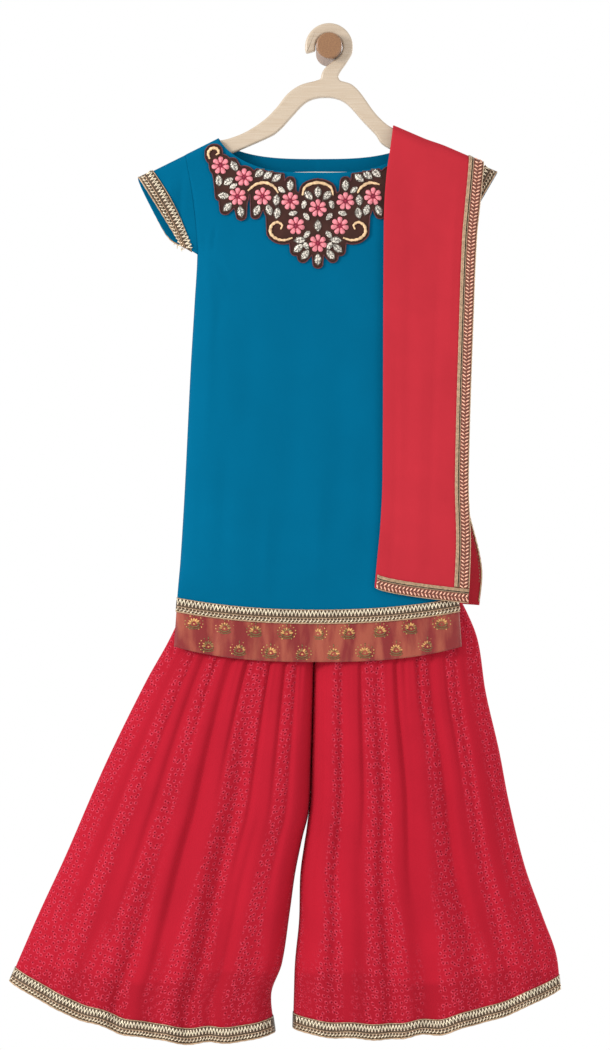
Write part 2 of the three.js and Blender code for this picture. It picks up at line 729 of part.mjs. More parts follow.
function dupattaLace(fall, rows, acrosses) {
  const pile = 2 * THIN_CLOTH + DUPATTA.between;
  const layer = (level) => fallNet(fall, rows, acrosses.map((across) => ({ across, level })));
  return wall(layer(pile + SEAM + LACE), layer(pile + SEAM));
}

function dupattaSideLace(fall) {
  const rows = Array.from({ length: FALL_ROWS - 1 }, (_, k) => k);
  return dupattaLace(fall, rows, [DUPATTA.laceShare, 1]);
}

function dupattaEndLace(fall) {
  return dupattaLace(fall, [FALL_ROWS - 2, FALL_ROWS - 1], FALL_COLUMNS.slice().reverse());
}

function arcPoints(radius, fromDegrees, toDegrees, steps) {
  return Array.from({ length: steps + 1 }, (_, k) => {
    const angle = THREE.MathUtils.degToRad(mix(fromDegrees, toDegrees, k / steps));
    return new THREE.Vector2(radius * Math.cos(angle), radius * Math.sin(angle));
  });
}

function curvePoints(places, steps) {
  return new THREE.SplineCurve(places.map(([x, z]) => new THREE.Vector2(x, z))).getPoints(steps);
}

// The hanger's outline in the plane of the wall, hook and arms in one.
function hangerOutline() {
  const { left, right, slant, round } = ARM_END;
  const ridgeAt = (x) => shoulderLine(x - KURTA.middle) - CLOTH - ARM_END.underRidge;
  const seated = (x) => [x, ridgeAt(x)];
  const underArm = (end, x) => [x, ridgeAt(end) - BOARD.armHeight];
  const corner = (end, x) => new THREE.Vector2(x, ridgeAt(end) - BOARD.armHeight * ARM_END.cornerDown);
  return new THREE.Shape([
    ...arcPoints(HOOK.outside, HOOK.from, HOOK.outsideTo, 13),
    ...curvePoints(HOOK_BACK, 6),
    ...curvePoints([...RIGHT_TOP, seated(SEATED_AT.right)], 11),
    new THREE.Vector2(...seated(right)),
    corner(right, right + slant),
    ...curvePoints([underArm(right, right - round), ...ARMS_UNDER, underArm(left, left + round)], 26),
    corner(left, left - slant),
    new THREE.Vector2(...seated(left)),
    ...curvePoints([seated(SEATED_AT.left), ...LEFT_TOP], 14),
    ...curvePoints(HOOK_FRONT, 4),
    ...arcPoints(HOOK.inside, HOOK.insideTo, HOOK.from, 16),
  ]);
}

function hanger() {
  const { thickness, bevel } = BOARD;
  const geometry = new THREE.ExtrudeGeometry(hangerOutline(), {
    depth: thickness - 2 * bevel, bevelEnabled: true, bevelThickness: bevel, bevelSize: bevel,
    bevelOffset: -bevel, bevelSegments: 1,
  });
  geometry.rotateX(Math.PI / 2);
  geometry.translate(0, HANG_Y + thickness / 2 - bevel, 0);
  return closed(geometry);
}

function closed(geometry) {
  const plain = geometry.clone();
  plain.deleteAttribute('normal');
  plain.deleteAttribute('uv');
  const merged = mergeVertices(plain, 1e-4);
  merged.setIndex(withoutCollapsed(Array.from(merged.getIndex().array)));
  return facingOut(merged);
}

// Leaves out triangles with two corners in one place, as at the poles of a turned body.
function withoutCollapsed(corners) {
  const kept = [];
  for (let k = 0; k < corners.length; k += 3) {
    const [a, b, c] = corners.slice(k, k + 3);
    if (a !== b && b !== c && c !== a) kept.push(a, b, c);
  }
  return kept;
}

function wallPeg() {
  const { radius, length, rim, rimTurn } = PEG;
  const profile = [
    new THREE.Vector2(0, 0),
    new THREE.Vector2(radius, 0),
    new THREE.Vector2(radius, length - rim),
    new THREE.Vector2(radius - rim * rimTurn, length - rim * rimTurn),
    new THREE.Vector2(radius - rim, length),
    new THREE.Vector2(0, length),
  ];
  const geometry = new THREE.LatheGeometry(profile, PEG.sides);
  geometry.rotateX(Math.PI);
  return closed(geometry);
}

// The rows of a motif on both sides, without those under the dupatta.
function onBothSides(rows) {
  const placed = [];
  for (const [x, z, way] of rows) {
    if (x <= YOKE.coveredFrom) placed.push([x, z, way]);
    if (x > 0) placed.push([-x, z, 180 - way]);
  }
  return placed;
}

function cordsOnBothSides() {
  const uncovered = CORDS.map((cord) => cord.filter(([x]) => x <= YOKE.coveredFrom));
  const mirrored = CORDS.map((cord) => cord.map(([x, z]) => [-x, z]));
  return [ARCHED_CORD, ...mirrored, ...uncovered.filter((cord) => cord.length > 2)];
}

// Discs of velvet round the motifs. Where they reach, the yoke's scalloped edge runs.
function velvetDiscs() {
  const discs = FLOWERS.map(([x, z]) => ({ x, z, radius: YOKE.flowerRadius + YOKE.margin }));
  for (const [x, z, way] of LEAVES) {
    const turn = THREE.MathUtils.degToRad(way);
    for (const reach of [-YOKE.leafEnds, 0, YOKE.leafEnds]) {
      discs.push({
        x: x + reach * Math.cos(turn),
        z: z + reach * Math.sin(turn),
        radius: YOKE.leafLong - YOKE.leafEnds + YOKE.margin,
      });
    }
  }
  for (const cord of [ARCHED_CORD, ...CORDS]) {
    for (const { x, y } of curvePoints(cord, YOKE.discSteps * (cord.length - 1))) {
      discs.push({ x, z: y, radius: YOKE.cord + YOKE.margin });
    }
  }
  return discs.flatMap((disc) => [disc, { ...disc, x: -disc.x }]);
}

// The velvet's top and bottom edge at a distance from the middle.
function velvetEdges(discs, x) {
  let top = -Infinity;
  let bottom = Infinity;
  for (const disc of discs) {
    const inside = disc.radius ** 2 - (x - disc.x) ** 2;
    if (inside <= 0) continue;
    top = Math.max(top, disc.z + Math.sqrt(inside));
    bottom = Math.min(bottom, disc.z - Math.sqrt(inside));
  }
  return { top: Math.min(top, neckline(-1, x) - YOKE.underNeckline), bottom };
}

function flowerOutline() {
  const points = [];
  for (let k = 0; k < YOKE.petals; k += 1) {
    for (const [offset, reach] of [[0, YOKE.petalDip], [0.5, YOKE.petalReach]]) {
      const angle = ((k + offset) / YOKE.petals) * 2 * Math.PI;
      const ray = new THREE.Vector2(Math.cos(angle), Math.sin(angle));
      points.push(ray.multiplyScalar(YOKE.flowerRadius * reach));
    }
  }
  return new THREE.Shape(points);
}

// Sets a motif, drawn flat with its height along +Z, on the velvet at a place of the yoke.
function seatOnYoke(geometry, [x, z], turn) {
  const onVelvet = (u, v) => kurtaPoint(-1, u / bodyHalf(v), v, YOKE.seat + CLOTH);
  const seat = onVelvet(x, z);
  const right = onVelvet(x + YOKE.tiltOver, z).sub(seat).normalize();
  const up = onVelvet(x, z + YOKE.tiltOver).sub(seat);
  const away = new THREE.Vector3().crossVectors(right, up).normalize();
  up.crossVectors(away, right);
  geometry.rotateZ(turn);
  geometry.applyMatrix4(new THREE.Matrix4().makeBasis(right, up, away).setPosition(seat));
  return geometry;
}

function raisedFlower(place) {
  const geometry = new THREE.ExtrudeGeometry(flowerOutline(), {
    depth: YOKE.root + YOKE.high, bevelEnabled: false,
  });
  geometry.translate(0, 0, -YOKE.root);
  return seatOnYoke(geometry, place, YOKE.flowerTurn);
}

// A leaf is a low point with five sides, longer than it is wide.
function raisedLeaf([x, z, way]) {
  const geometry = new THREE.ConeGeometry(1, YOKE.root + YOKE.high, YOKE.leafSides, 1);
  geometry.rotateX(Math.PI / 2);
  geometry.translate(0, 0, (YOKE.root + YOKE.high) / 2 - YOKE.root);
  geometry.scale(YOKE.leafWide, YOKE.leafLong, 1);
  return seatOnYoke(geometry, [x, z], THREE.MathUtils.degToRad(way - 90));
}

// A couched cord along places of the yoke, thinner at its ends, and sunk in the velvet so
// that nothing is hollow under it.
function couchedCord(places) {
  const steps = Math.round(YOKE.cordSteps * (places.length - 1));
  const path = curvePoints(places, steps).map(({ x, y }) => {
    return kurtaPoint(-1, x / bodyHalf(y), y, YOKE.seat + CLOTH + YOKE.cordLift);
  });
  const away = new THREE.Vector3(0, -1, 0);
  const positions = [];
  path.forEach((place, k) => {
    const before = path[Math.max(k - 1, 0)];
    const after = path[Math.min(k + 1, path.length - 1)];
    const side = new THREE.Vector3().subVectors(after, before).cross(away).normalize();
    const radius = YOKE.cord * mix(YOKE.cordEnds, 1, Math.sin((Math.PI * k) / (path.length - 1)));
    for (let j = 0; j < YOKE.cordSides; j += 1) {
      const angle = (2 * Math.PI * j) / YOKE.cordSides;
      const point = place.clone()
        .addScaledVector(side, radius * Math.cos(angle))
        .addScaledVector(away, radius * Math.sin(angle));
      positions.push(point.x, point.y, point.z);
    }
  });
  return tubeBody(positions, path.length, YOKE.cordSides);
}

// A tube through rings of points, closed at both ends.
function tubeBody(positions, rings, sides) {
  const index = [];
  for (let k = 0; k < rings - 1; k += 1) {
    for (let j = 0; j < sides; j += 1) {
      const a = k * sides + j;
      const b = k * sides + ((j + 1) % sides);
      index.push(a, b, b + sides, a, b + sides, a + sides);
    }
  }
  const last = (rings - 1) * sides;
  for (let j = 1; j < sides - 1; j += 1) {
    index.push(0, j + 1, j, last, last + j, last + j + 1);
  }
  const geometry = new THREE.BufferGeometry();
  geometry.setAttribute('position', new THREE.Float32BufferAttribute(positions, 3));
  geometry.setIndex(index);
  return geometry;
}

function yokeWall() {
  const discs = velvetDiscs();
  const reach = Math.max(...discs.map((disc) => disc.x + disc.radius)) - YOKE.endInside;
  const spans = 2 * Math.floor(reach / YOKE.columnStep) + 1;
  const columns = Array.from({ length: spans + 1 }, (_, k) => mix(-reach, reach, k / spans));
  const layer = (out) => net(YOKE.rows, columns, (share, x) => {
    const { top, bottom } = velvetEdges(discs, x);
    const z = mix(top, bottom, share);
    return kurtaPoint(-1, x / bodyHalf(z), z, out);
  });
  return wall(layer(YOKE.seat + CLOTH), layer(YOKE.seat));
}

async function neckPatch() {
  const wasm = await Module();
  wasm.setup();
  const solid = (geometry) => {
    const body = closed(geometry);
    return new wasm.Manifold(new wasm.Mesh({
      numProp: 3,
      vertProperties: new Float32Array(body.getAttribute('position').array),
      triVerts: new Uint32Array(body.getIndex().array),
    }));
  };
  let patch = solid(yokeWall());
  const raised = [
    ...onBothSides(FLOWERS).map(raisedFlower),
    ...onBothSides(LEAVES).map(raisedLeaf),
    ...cordsOnBothSides().map(couchedCord),
  ];
  for (const geometry of raised) patch = patch.add(solid(geometry));
  const mesh = patch.simplify(YOKE.leastDetail).getMesh();
  const geometry = new THREE.BufferGeometry();
  geometry.setAttribute('position', new THREE.Float32BufferAttribute(mesh.vertProperties, 3));
  geometry.setIndex(Array.from(mesh.triVerts));
  return facingOut(geometry);
}

function finish(color, roughness) {
  return new THREE.MeshStandardMaterial({ color, roughness, metalness: 0, side: THREE.FrontSide });
}

const beech = finish('#e3d2b4', 0.45);
const pegWood = finish('#a67b55', 0.5);
const blueCrepe = finish('#006c92', 0.7);
const goldLace = new THREE.MeshStandardMaterial({ color: '#b79a6e', roughness: 0.4, metalness: 0.5 });
const brocade = finish('#a04c3d', 0.45);
const velvet = finish('#4a2a26', 0.9);
const redCotton = finish('#bf2134', 0.8);
const coralCrepe = finish('#c8383f', 0.7);

const group = new THREE.Group();

function add(name, geometry, material) {
  const mesh = new THREE.Mesh(geometry, material);
  mesh.name = name;
  group.add(mesh);
}

add('wall_peg', wallPeg(), pegWood);
add('hanger', hanger(), beech);
add('kurta_front', kurtaPanel(-1), blueCrepe);
add('kurta_back', kurtaPanel(1), blueCrepe);
for (const [side, sign] of [['left', -1], ['right', 1]]) {
  add(`sleeve_${side}`, sleeve(sign), blueCrepe);
  add(`sleeve_lace_${side}`, sleeveLace(sign), goldLace);
}
add('neck_patch', await neckPatch(), velvet);
for (const [side, face] of [['front', -1], ['back', 1]]) {
  add(`hem_lace_${side}`, hemLace(face), goldLace);
  add(`hem_band_${side}`, hemBand(face), brocade);
}
add('waistband', waistband(), redCotton);
for (const side of ['left', 'right']) {
  add(`leg_${side}`, trouserLeg(LEGS[side]), redCotton);
  add(`leg_lace_${side}`, legLace(LEGS[side]), goldLace);
}
for (const [side, fall] of [['front', FRONT_FALL], ['back', BACK_FALL]]) {
  add(`dupatta_${side}`, dupattaFall(fall), coralCrepe);
  add(`dupatta_side_lace_${side}`, dupattaSideLace(fall), goldLace);
  add(`dupatta_end_lace_${side}`, dupattaEndLace(fall), goldLace);
}

export default group;
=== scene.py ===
"""A girl's kurta, sharara and dupatta on a wooden hanger and wall peg.

Lengths in the tables are millimetres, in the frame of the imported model: the origin is the middle of
the peg's back face, +X runs to the viewer's right, the front faces -Y and +Z is up. Every cloth
shell is worked out from the sizes its solid was cut to, so that it lies in the solid's place.
"""

import math

import bpy
import numpy as np
from mathutils import Matrix, Vector


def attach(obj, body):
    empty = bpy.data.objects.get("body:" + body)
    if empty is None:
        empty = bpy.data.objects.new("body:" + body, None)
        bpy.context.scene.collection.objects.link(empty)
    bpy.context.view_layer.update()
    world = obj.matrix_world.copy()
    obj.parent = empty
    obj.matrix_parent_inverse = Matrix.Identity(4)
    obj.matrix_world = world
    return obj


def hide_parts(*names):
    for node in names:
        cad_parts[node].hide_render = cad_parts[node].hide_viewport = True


bl_info = {
    "name": "Hanging shalwar kameez",
    "version": (1, 0, 0),
    "blender": (4, 5, 0),
    "location": "3D View > Sidebar > Garment",
    "description": "Dresses a packed kurta, sharara and dupatta in cloth, lace and applique",
    "category": "Object",
}

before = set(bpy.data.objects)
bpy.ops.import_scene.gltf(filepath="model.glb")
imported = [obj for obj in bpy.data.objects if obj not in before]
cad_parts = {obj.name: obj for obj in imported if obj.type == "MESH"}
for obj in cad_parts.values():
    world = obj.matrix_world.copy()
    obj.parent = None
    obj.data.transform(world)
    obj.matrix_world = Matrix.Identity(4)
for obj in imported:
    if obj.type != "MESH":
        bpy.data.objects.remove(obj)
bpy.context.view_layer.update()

MM = 0.001
HANG_Y = -55.0
SEAM = 0.3
CLOTH = 1.2
LACE_WIDTH = 17.5
LACE = 1.2
LACE_WALL = 0.8
# How far a lace's woven ground, and the threads and cords on it, stand off the cloth
GROUND_SEAT = LACE * 0.5
THREAD_SEAT = LACE * 0.6
# A cord's sides, the share of its radius that its lumps rise, and how fast they turn
CORD_SIDES = 6
CORD_LUMP = 0.16
CORD_TWIST = 1.3
# How square the body, the waistband and the legs are across: two would be an ellipse
SQUARENESS = 4

# The kurta, from its own middle line
MIDDLE = -14.0
NECK_HALF = 124.0
NECK_Z = -113.5
NECK_DROP = {-1: 44.5, 1: 24.5}
# How flat the neckline's foot is, and how sharply it turns up at its ends
NECK_POWER = 3.2
NECK_CORNER = 0.8
SLOPE_LEFT = 0.5
SLOPE_RIGHT = 0.43
SHOULDER_HALF = 165.0
UNDERARM_Z = -259.0
RIDGE_RADIUS = 8.0
RIDGE_DEPTH = 10.7
# How far under the shoulder the body is at its full depth, the creases are at their full
# height and a panel's columns have spread to the body's width
FULL_DEPTH_AT = 200.0
CREASED_FROM = 60.0
SPREAD_OVER = 40.0
SLIT_TOP = -640.0
SLIT_FULL = -685.0
HEM_MID = -702.0
HEM_RISE = 15.0
HEM_POWER = 2.2
BAND_MID = -767.0
BAND_RISE = 19.0
BAND_POWER = 2.6
# How far a panel goes on below the hem's top, under the lace
UNDER_LACE = 14.0

# The band's woven sprigs: how far each row lies under the hem's top, the height where they
# are spaced and the share of the half width that they reach
BUTI_DROPS = (28.5, 53.5)
BUTI_LEVEL = -740
BUTIS_UNTIL = 0.97

# How far the sides stand open: share added, and the heights where it starts and is full
SIDE_OPENS = [
    (0.6, UNDERARM_Z, UNDERARM_Z + 30),
    (0.4, -195, -160),
    (0.8, SLIT_TOP, SLIT_FULL),
]

# The facing just inside the front neckline: its two ends, and how far under the edge its
# ends lie, its lift between them, and its rows
FACING_ENDS = (-46, 52)
FACING_POINTS = 50
FACING_DROP = 1.5
FACING_LIFT = 2.6
FACING_ROWS = [0, 1.5, 4, 8]
FACING_WALL = 0.4

# Height, half width and half depth of the kurta's body
BODY = np.array([
    (-100, 168, 18),
    (-133, 165, 19),
    (-180, 157, 20),
    (-225, 152, 21),
    (-259, 150.6, 22),
    (-320, 154, 23),
    (-403, 159, 24),
    (-566, 167, 27),
    (-691, 175, 29),
    (-780, 181, 30),
])

# Soft folds of the kurta: share of the half width, top, foot, width and height
DRAPES = {
    -1: [
        (-0.86, -270, -520, 0.05, 2.2),
        (-0.55, -380, -800, 0.12, 1.6),
        (0.42, -420, -800, 0.14, 1.4),
        (0.86, -270, -480, 0.05, 2.0),
    ],
    1: [
        (-0.8, -265, -560, 0.06, 2.4),
        (-0.4, -240, -800, 0.13, 1.8),
        (0.35, -330, -800, 0.12, 1.6),
        (0.8, -265, -520, 0.06, 2.2),
    ],
}

SLEEVE_TIP_OUT = 59.5
SLEEVE_HEM_X = 170.0
SLEEVE_HEM_Z = -247.0
SLEEVE_MOUTH = 9.0
# How far the back of a sleeve's mouth bows out, how sharply the bow ends and how soon it starts
SLEEVE_BOW = {-1: 13.0, 1: 1.5}
SLEEVE_BOW_END = 14
SLEEVE_POWER = 0.6
SLEEVE_TRIM_TOP = 0.7
SLEEVE_TRIM_FOOT = 0.36
SLEEVE_LACE_SEAT = 0.8

# The yoke's motifs, by distance from the middle and height; all but those in the middle come twice
FLOWERS = [
    (0, -247), (0, -203), (27, -225), (34, -194), (68, -188), (91, -164), (99, -188), (120, -149),
]
# A leaf's tip points this many degrees round, from outwards at 0 to upwards at 90
LEAVES = [
    (0, -267, -90), (15.5, -261, -50), (22, -243, -5), (24, -253, -40), (0, -225, -90),
    (0, -183, 90), (11.5, -187, 50), (34, -174.5, 90), (51, -165, 140), (61.5, -161.5, 140),
    (72, -159, 140), (60, -205, -110), (75, -205.5, -65), (51, -193, 95), (50, -209, -80),
    (116, -187, 5), (111, -201, -45), (95, -207, -100), (110, -169, -35), (122, -168, -95),
    (103, -150, 60),
]
# Flat leaves of thread that fill the velvet between the stuffed ones
FILLERS = [
    (14, -213.5, 51), (13.5, -236, 129), (30.5, -209.5, -13), (17, -198.5, 105), (44.5, -180, 40),
    (104, -175, -30), (14.5, -250, 60),
]
ARCHED_CORD = [(-19, -187), (-15, -176), (0, -171), (15, -176), (19, -187)]
CORDS = [
    [(86, -181), (76, -173), (64, -171), (54, -176), (48.5, -184)],
    [
        (31, -240), (41, -243), (51, -241), (58, -234),
        (57, -225), (50, -220.5), (44, -224), (45.5, -229.5),
    ],
    [(133, -141), (135, -134), (131, -128), (124.5, -128), (122, -133), (125.5, -136)],
]
YOKE_SEAT = 0.45
YOKE_WALL = 1.0
# How far the velvet's ends lie inside its outermost discs
EDGE_INSET = 0.8
BORDER_STEP = 1.3
BORDER_RADIUS = 0.75
CORD_SEAT = 0.5
# Where a couched cord's taper starts and ends, as shares of half a wave, with its sides and twist
CORD_TAPER = (0.16, 0.88)
COUCHED_SIDES = 8
COUCHED_TWIST = 1.1
FLOWER_TURN = 0.2
PETALS = 7
VELVET_MARGIN = 3.0
UNDER_NECKLINE = 2.5
LEAF_ENDS = 4.4
FILLER_SIZE = 0.78
COVERED_FROM = 78.0

WAIST_TOP = -560.0
WAIST_HEIGHT = 30.0
WAIST_HALF = 115.0
LEG_TOP = WAIST_TOP - WAIST_HEIGHT - SEAM
RISE_TOP = -680.0
CROTCH_Z = -790.0
WAIST_GATHERS = 34
WAIST_GATHER_DEPTH = 0.6
LINING_EDGE = -1156.0
# The height where the two inner edges part, and over how much they do
MEET_UNTIL = -955.0
MEET_FADE = 30.0
# How square the inner edge is where it's closed
INNER_SHUT = 20
SAG_POWER = 1.5
# The hem's small waves: height, and two counts as turns in radians across a leg
HEM_WAVE = 1.6
HEM_TURNS = (29, 47)
# The gathers under the waist: height, broad and fine counts, and the level they lie about
GATHER_HEIGHT = 4.4
GATHER_COUNTS = (9.5, 21)
GATHER_MEAN = 1.15
# The shares of a leg's length where the gathers start to fade and over which they are gone
GATHERS_FROM = 0.05
GATHERS_OVER = 0.42
CREASE_SHARE = 0.95
# How much the columns of a leg crowd towards its two edges
CROWDING = 0.3

# The embroidered bands across a leg, broad and fine: count, start and weight. The broad ones
# drift a little, and there is more embroidery beyond a share of the width and low down.
BANDS = {"broad": (5, 0.1, 1.0), "fine": (12, 0.3, 0.35)}
BAND_DRIFT = 0.3
BANDS_FOOT = -1240.0
OUTER_FROM = 0.6
OUTER_BONUS = 0.6
LOW_FROM = 0.62
LOW_BONUS = 0.9

# Height and half depth of a leg
LEG_DEPTH = np.array([
    (-590, 23), (-700, 23), (-770, 24.5), (-850, 29), (-1000, 33), (-1250, 35),
])

# Edges are rows of height and place; folds are rows of share at the top, share at the hem,
# width and height
LEGS = {
    "left": {
        "sign": -1,
        "sag": 34.0,
        "hem_inner": -1229.0,
        "hem_outer": -1166.0,
        "inner": np.array([
            (-590, -14.2), (-770, -19.1), (-900, -22.6), (-949, -25), (-996, -35),
            (-1034, -42.5), (-1081, -49), (-1146, -59), (-1182, -72), (-1229, -67.5),
        ]),
        "outer": np.array([
            (-590, -128), (-640, -150), (-690, -176), (-741, -200), (-793, -229),
            (-897, -280), (-1012, -330), (-1081, -362), (-1166, -399),
        ]),
        -1: [
            (0.08, 0.06, 0.05, 5), (0.24, 0.18, 0.07, 8), (0.38, 0.29, 0.03, 3),
            (0.52, 0.38, 0.055, 11), (0.66, 0.53, 0.05, 7), (0.78, 0.67, 0.05, 8),
            (0.89, 0.81, 0.045, 6),
        ],
        1: [
            (0.1, 0.09, 0.05, 6), (0.25, 0.24, 0.06, 9), (0.42, 0.4, 0.06, 8),
            (0.57, 0.56, 0.05, 10), (0.72, 0.7, 0.05, 8), (0.87, 0.84, 0.045, 6),
        ],
    },
    "right": {
        "sign": 1,
        "sag": 29.0,
        "hem_inner": -1224.0,
        "hem_outer": -1176.0,
        "inner": np.array([
            (-590, -13.8), (-770, -18.3), (-900, -21.8), (-949, -23.6), (-996, -31),
            (-1034, -36), (-1091, -37.5), (-1142, -42.5), (-1184, -44), (-1224, -45),
        ]),
        "outer": np.array([
            (-590, 100), (-640, 134), (-670, 152), (-703, 171), (-741, 186), (-806, 196),
            (-878, 212.5), (-943, 225), (-1024, 245), (-1087, 267.5), (-1133, 284),
            (-1176, 289),
        ]),
        -1: [
            (0.1, 0.1, 0.05, 6), (0.24, 0.22, 0.045, 5), (0.36, 0.32, 0.04, 4),
            (0.46, 0.43, 0.05, 8), (0.55, 0.61, 0.06, 11), (0.73, 0.75, 0.05, 6),
            (0.87, 0.87, 0.045, 7),
        ],
        1: [
            (0.08, 0.1, 0.05, 7), (0.24, 0.26, 0.06, 8), (0.4, 0.41, 0.06, 10),
            (0.56, 0.57, 0.05, 7), (0.7, 0.73, 0.05, 9), (0.86, 0.87, 0.045, 5),
        ],
    },
}

DUPATTA_SEAT = 2.4
DUPATTA_SEAM_SEAT = 0.5
DUPATTA_PILE = 3.0
DUPATTA_LACE_SHARE = 0.84
# The share of a fall's length that lies under the end's lace
END_SHARE = 0.04
FOLD_ROUND = 0.012
STITCH_ROWS = (0.86, 0.97)
STITCH_STEP = 0.0075
STITCH_HALF = 1.4
STITCH_RADIUS = 0.35
STITCH_LEVEL = -0.1
EDGE_CORD_RADIUS = 0.8
EDGE_CORD_LEVEL = -0.4
# How far the pile stands off the kurta, high up and low down, and between which heights
CLEAR_HIGH = 5.0
CLEAR_LOW = 2.4
CLEAR_FROM = -450
CLEAR_OVER = 250
FALLS = {
    "front": {
        "face": -1,
        "fold": np.array([
            (-90, 81), (-128, 76), (-163, 71), (-214, 68), (-541, 66), (-596, 63.5),
            (-644, 59), (-700, 54),
        ]),
        "free": np.array([
            (-90, 193), (-143, 193), (-199, 188), (-237, 184), (-316, 180), (-541, 173),
            (-620, 175.5), (-700, 172.5),
        ]),
        "end": -674.0,
        "end_drop": 20.0,
    },
    "back": {
        "face": 1,
        "fold": np.array([(-90, 81), (-200, 76), (-450, 74), (-700, 66)]),
        "free": np.array([
            (-90, 193), (-143, 193), (-199, 187), (-316, 177), (-480, 168), (-565, 174),
            (-650, 193), (-705, 189),
        ]),
        "end": -684.0,
        "end_drop": 14.0,
    },
}


def linear(hex_colour, alpha=True):
    """An sRGB hex value as the linear colour that shaders want."""
    channels = [int(hex_colour[i:i + 2], 16) / 255 for i in (1, 3, 5)]
    light = [c / 12.92 if c <= 0.04045 else ((c + 0.055) / 1.055) ** 2.4 for c in channels]
    return (*light, 1.0) if alpha else tuple(light)


def colour_property(name, description, hex_colour):
    return bpy.props.FloatVectorProperty(
        name=name, description=description, subtype="COLOR", size=3, min=0, max=1,
        default=linear(hex_colour, alpha=False),
    )


def length_property(name, description, millimetres, low, high):
    return bpy.props.FloatProperty(
        name=name, description=description, unit="LENGTH", default=millimetres * MM,
        min=low * MM, max=high * MM,
    )


class GarmentKurtaSizes(bpy.types.PropertyGroup):
    """Sizes and colours of the kurta"""

    wall: length_property("Crepe thickness", "Thickness of the kurta's cloth wall", 1.0, 0.2, 1.2)
    crease: bpy.props.FloatProperty(
        name="Crease height", description="Share of the full height of the small creases",
        subtype="FACTOR", default=1.0, min=0.0, max=1.5,
    )
    # The band's darker and lighter reds are painted shade and light of its soft folds, mixed in upright
    # bands
    crepe: colour_property("Crepe", "Colour of the teal crepe", "#005879")
    fold_shade_red: colour_property("Band warp", "The darker red of the brocade band", "#751919")
    fold_lit_red: colour_property("Band weft", "The lighter red of the brocade band", "#924431")
    buti: length_property("Woven motif", "Height of a woven gold motif on the band", 18.0, 5, 25)
    buti_pitch: length_property("Motif spacing", "Distance between motifs in a row", 38.75, 20, 80)


class GarmentYokeSizes(bpy.types.PropertyGroup):
    """Sizes and colours of the appliqued yoke"""

    flower: length_property("Flower radius", "From a flower's middle to a petal's tip", 11.3, 4, 14)
    leaf: length_property("Leaf length", "Half the length of a silver leaf", 8.0, 3, 12)
    cord: length_property("Cord radius", "Radius of a couched cord where it is thickest", 1.9, 0.5, 3)
    velvet: colour_property("Velvet", "Colour of the brown velvet", "#371F1A")
    border: colour_property("Border", "Colour of the stitched border", "#4E171B")
    petal: colour_property("Petal", "Colour of the pink petals", "#D97C86")
    heart: colour_property("Heart", "Colour of a flower's middle", "#8E1E3A")
    silver: colour_property("Leaf", "Colour of the silver thread", "#D3CCC0")
    cream: colour_property("Cord", "Colour of the couched cord", "#D9B68C")


class GarmentLaceSizes(bpy.types.PropertyGroup):
    """Sizes and colours of the gold edging lace"""

    pitch: length_property("Tooth spacing", "Distance between the lace's teeth", 4.6, 2, 12)
    thread: length_property("Thread radius", "Radius of the thickest thread", 0.75, 0.2, 1.5)
    gold: colour_property("Gold", "Colour of the metallic thread", "#DCCBB2")
    # The ground's dark colour is painted shade between the threads
    shade: colour_property("Ground", "Colour between the threads", "#4C3B28")


class GarmentShararaSizes(bpy.types.PropertyGroup):
    """Sizes and colours of the flared trousers"""

    wall: length_property("Cotton thickness", "Thickness of the trousers' cloth wall", 1.0, 0.2, 1.2)
    eyelet: length_property("Eyelet spacing", "Distance between embroidered eyelets", 6.8, 4, 20)
    cotton: colour_property("Cotton", "Colour of the red cotton", "#A11929")
    thread: colour_property("Embroidery", "Colour of the thread round an eyelet", "#BE3A4C")


class GarmentDupattaSizes(bpy.types.PropertyGroup):
    """Sizes and colours of the dupatta"""

    wall: length_property("Crepe thickness", "Thickness of the dupatta's cloth", 0.8, 0.2, 1.0)
    crepe: colour_property("Coral crepe", "Colour of the dupatta", "#AA2A34")


class GarmentStageSizes(bpy.types.PropertyGroup):
    """The camera, the lamps and the floor"""

    height: length_property("Frame height", "Height that the camera frames", 1312.5, 100, 4000)
    distance: bpy.props.FloatProperty(
        name="Camera distance", description="From the camera to the garment", unit="LENGTH",
        default=4.0, min=1.0, max=20.0,
    )
    light: bpy.props.FloatProperty(
        name="World light", description="Strength of the pale surrounding light",
        default=1.0, min=0.0, max=5.0,
    )


# Reading the tables

def smooth(share):
    t = np.clip(share, 0.0, 1.0)
    return t * t * (3 - 2 * t)


def mix(low, high, share):
    return low + (high - low) * share


def reading(rows, key=1):
    """A smooth reading of one column of a table whose rows run down in height."""
    heights = rows[:, 0].astype(float)
    values = rows[:, key].astype(float)
    count = len(rows)
    before = np.maximum(np.arange(count) - 1, 0)
    after = np.minimum(np.arange(count) + 1, count - 1)
    slopes = (values[after] - values[before]) / (heights[after] - heights[before])

    def read(z):
        z = np.asarray(z, float)
        i = np.clip(np.searchsorted(-heights, -z, side="left") - 1, 0, count - 2)
        step = heights[i + 1] - heights[i]
        t = np.clip((z - heights[i]) / step, 0, 1)
        ends = mix(values[i], values[i + 1], t * t * (3 - 2 * t))
        return ends + t * (1 - t) * step * ((1 - t) * slopes[i] - t * slopes[i + 1])

    return read


body_half = reading(BODY, 1)
body_depth = reading(BODY, 2)
leg_depth = reading(LEG_DEPTH, 1)


def rounded(share):
    """Depth across a flattened tube, 1 in the middle and 0 at its two edges."""
    return np.sqrt(np.clip(1 - share ** SQUARENESS, 0, 1))


def stacked(x, y, z):
    return np.stack(np.broadcast_arrays(x, y, z), axis=-1)


# The kurta's surface

def shoulder_line(x):
    slope = np.where(np.asarray(x) < 0, SLOPE_LEFT, SLOPE_RIGHT)
    return NECK_Z - (np.abs(x) - NECK_HALF) * slope


def ridge(drop):
    share = 1 - np.clip(np.asarray(drop) / RIDGE_RADIUS, 0, 1)
    return np.sqrt(1 - share * share)


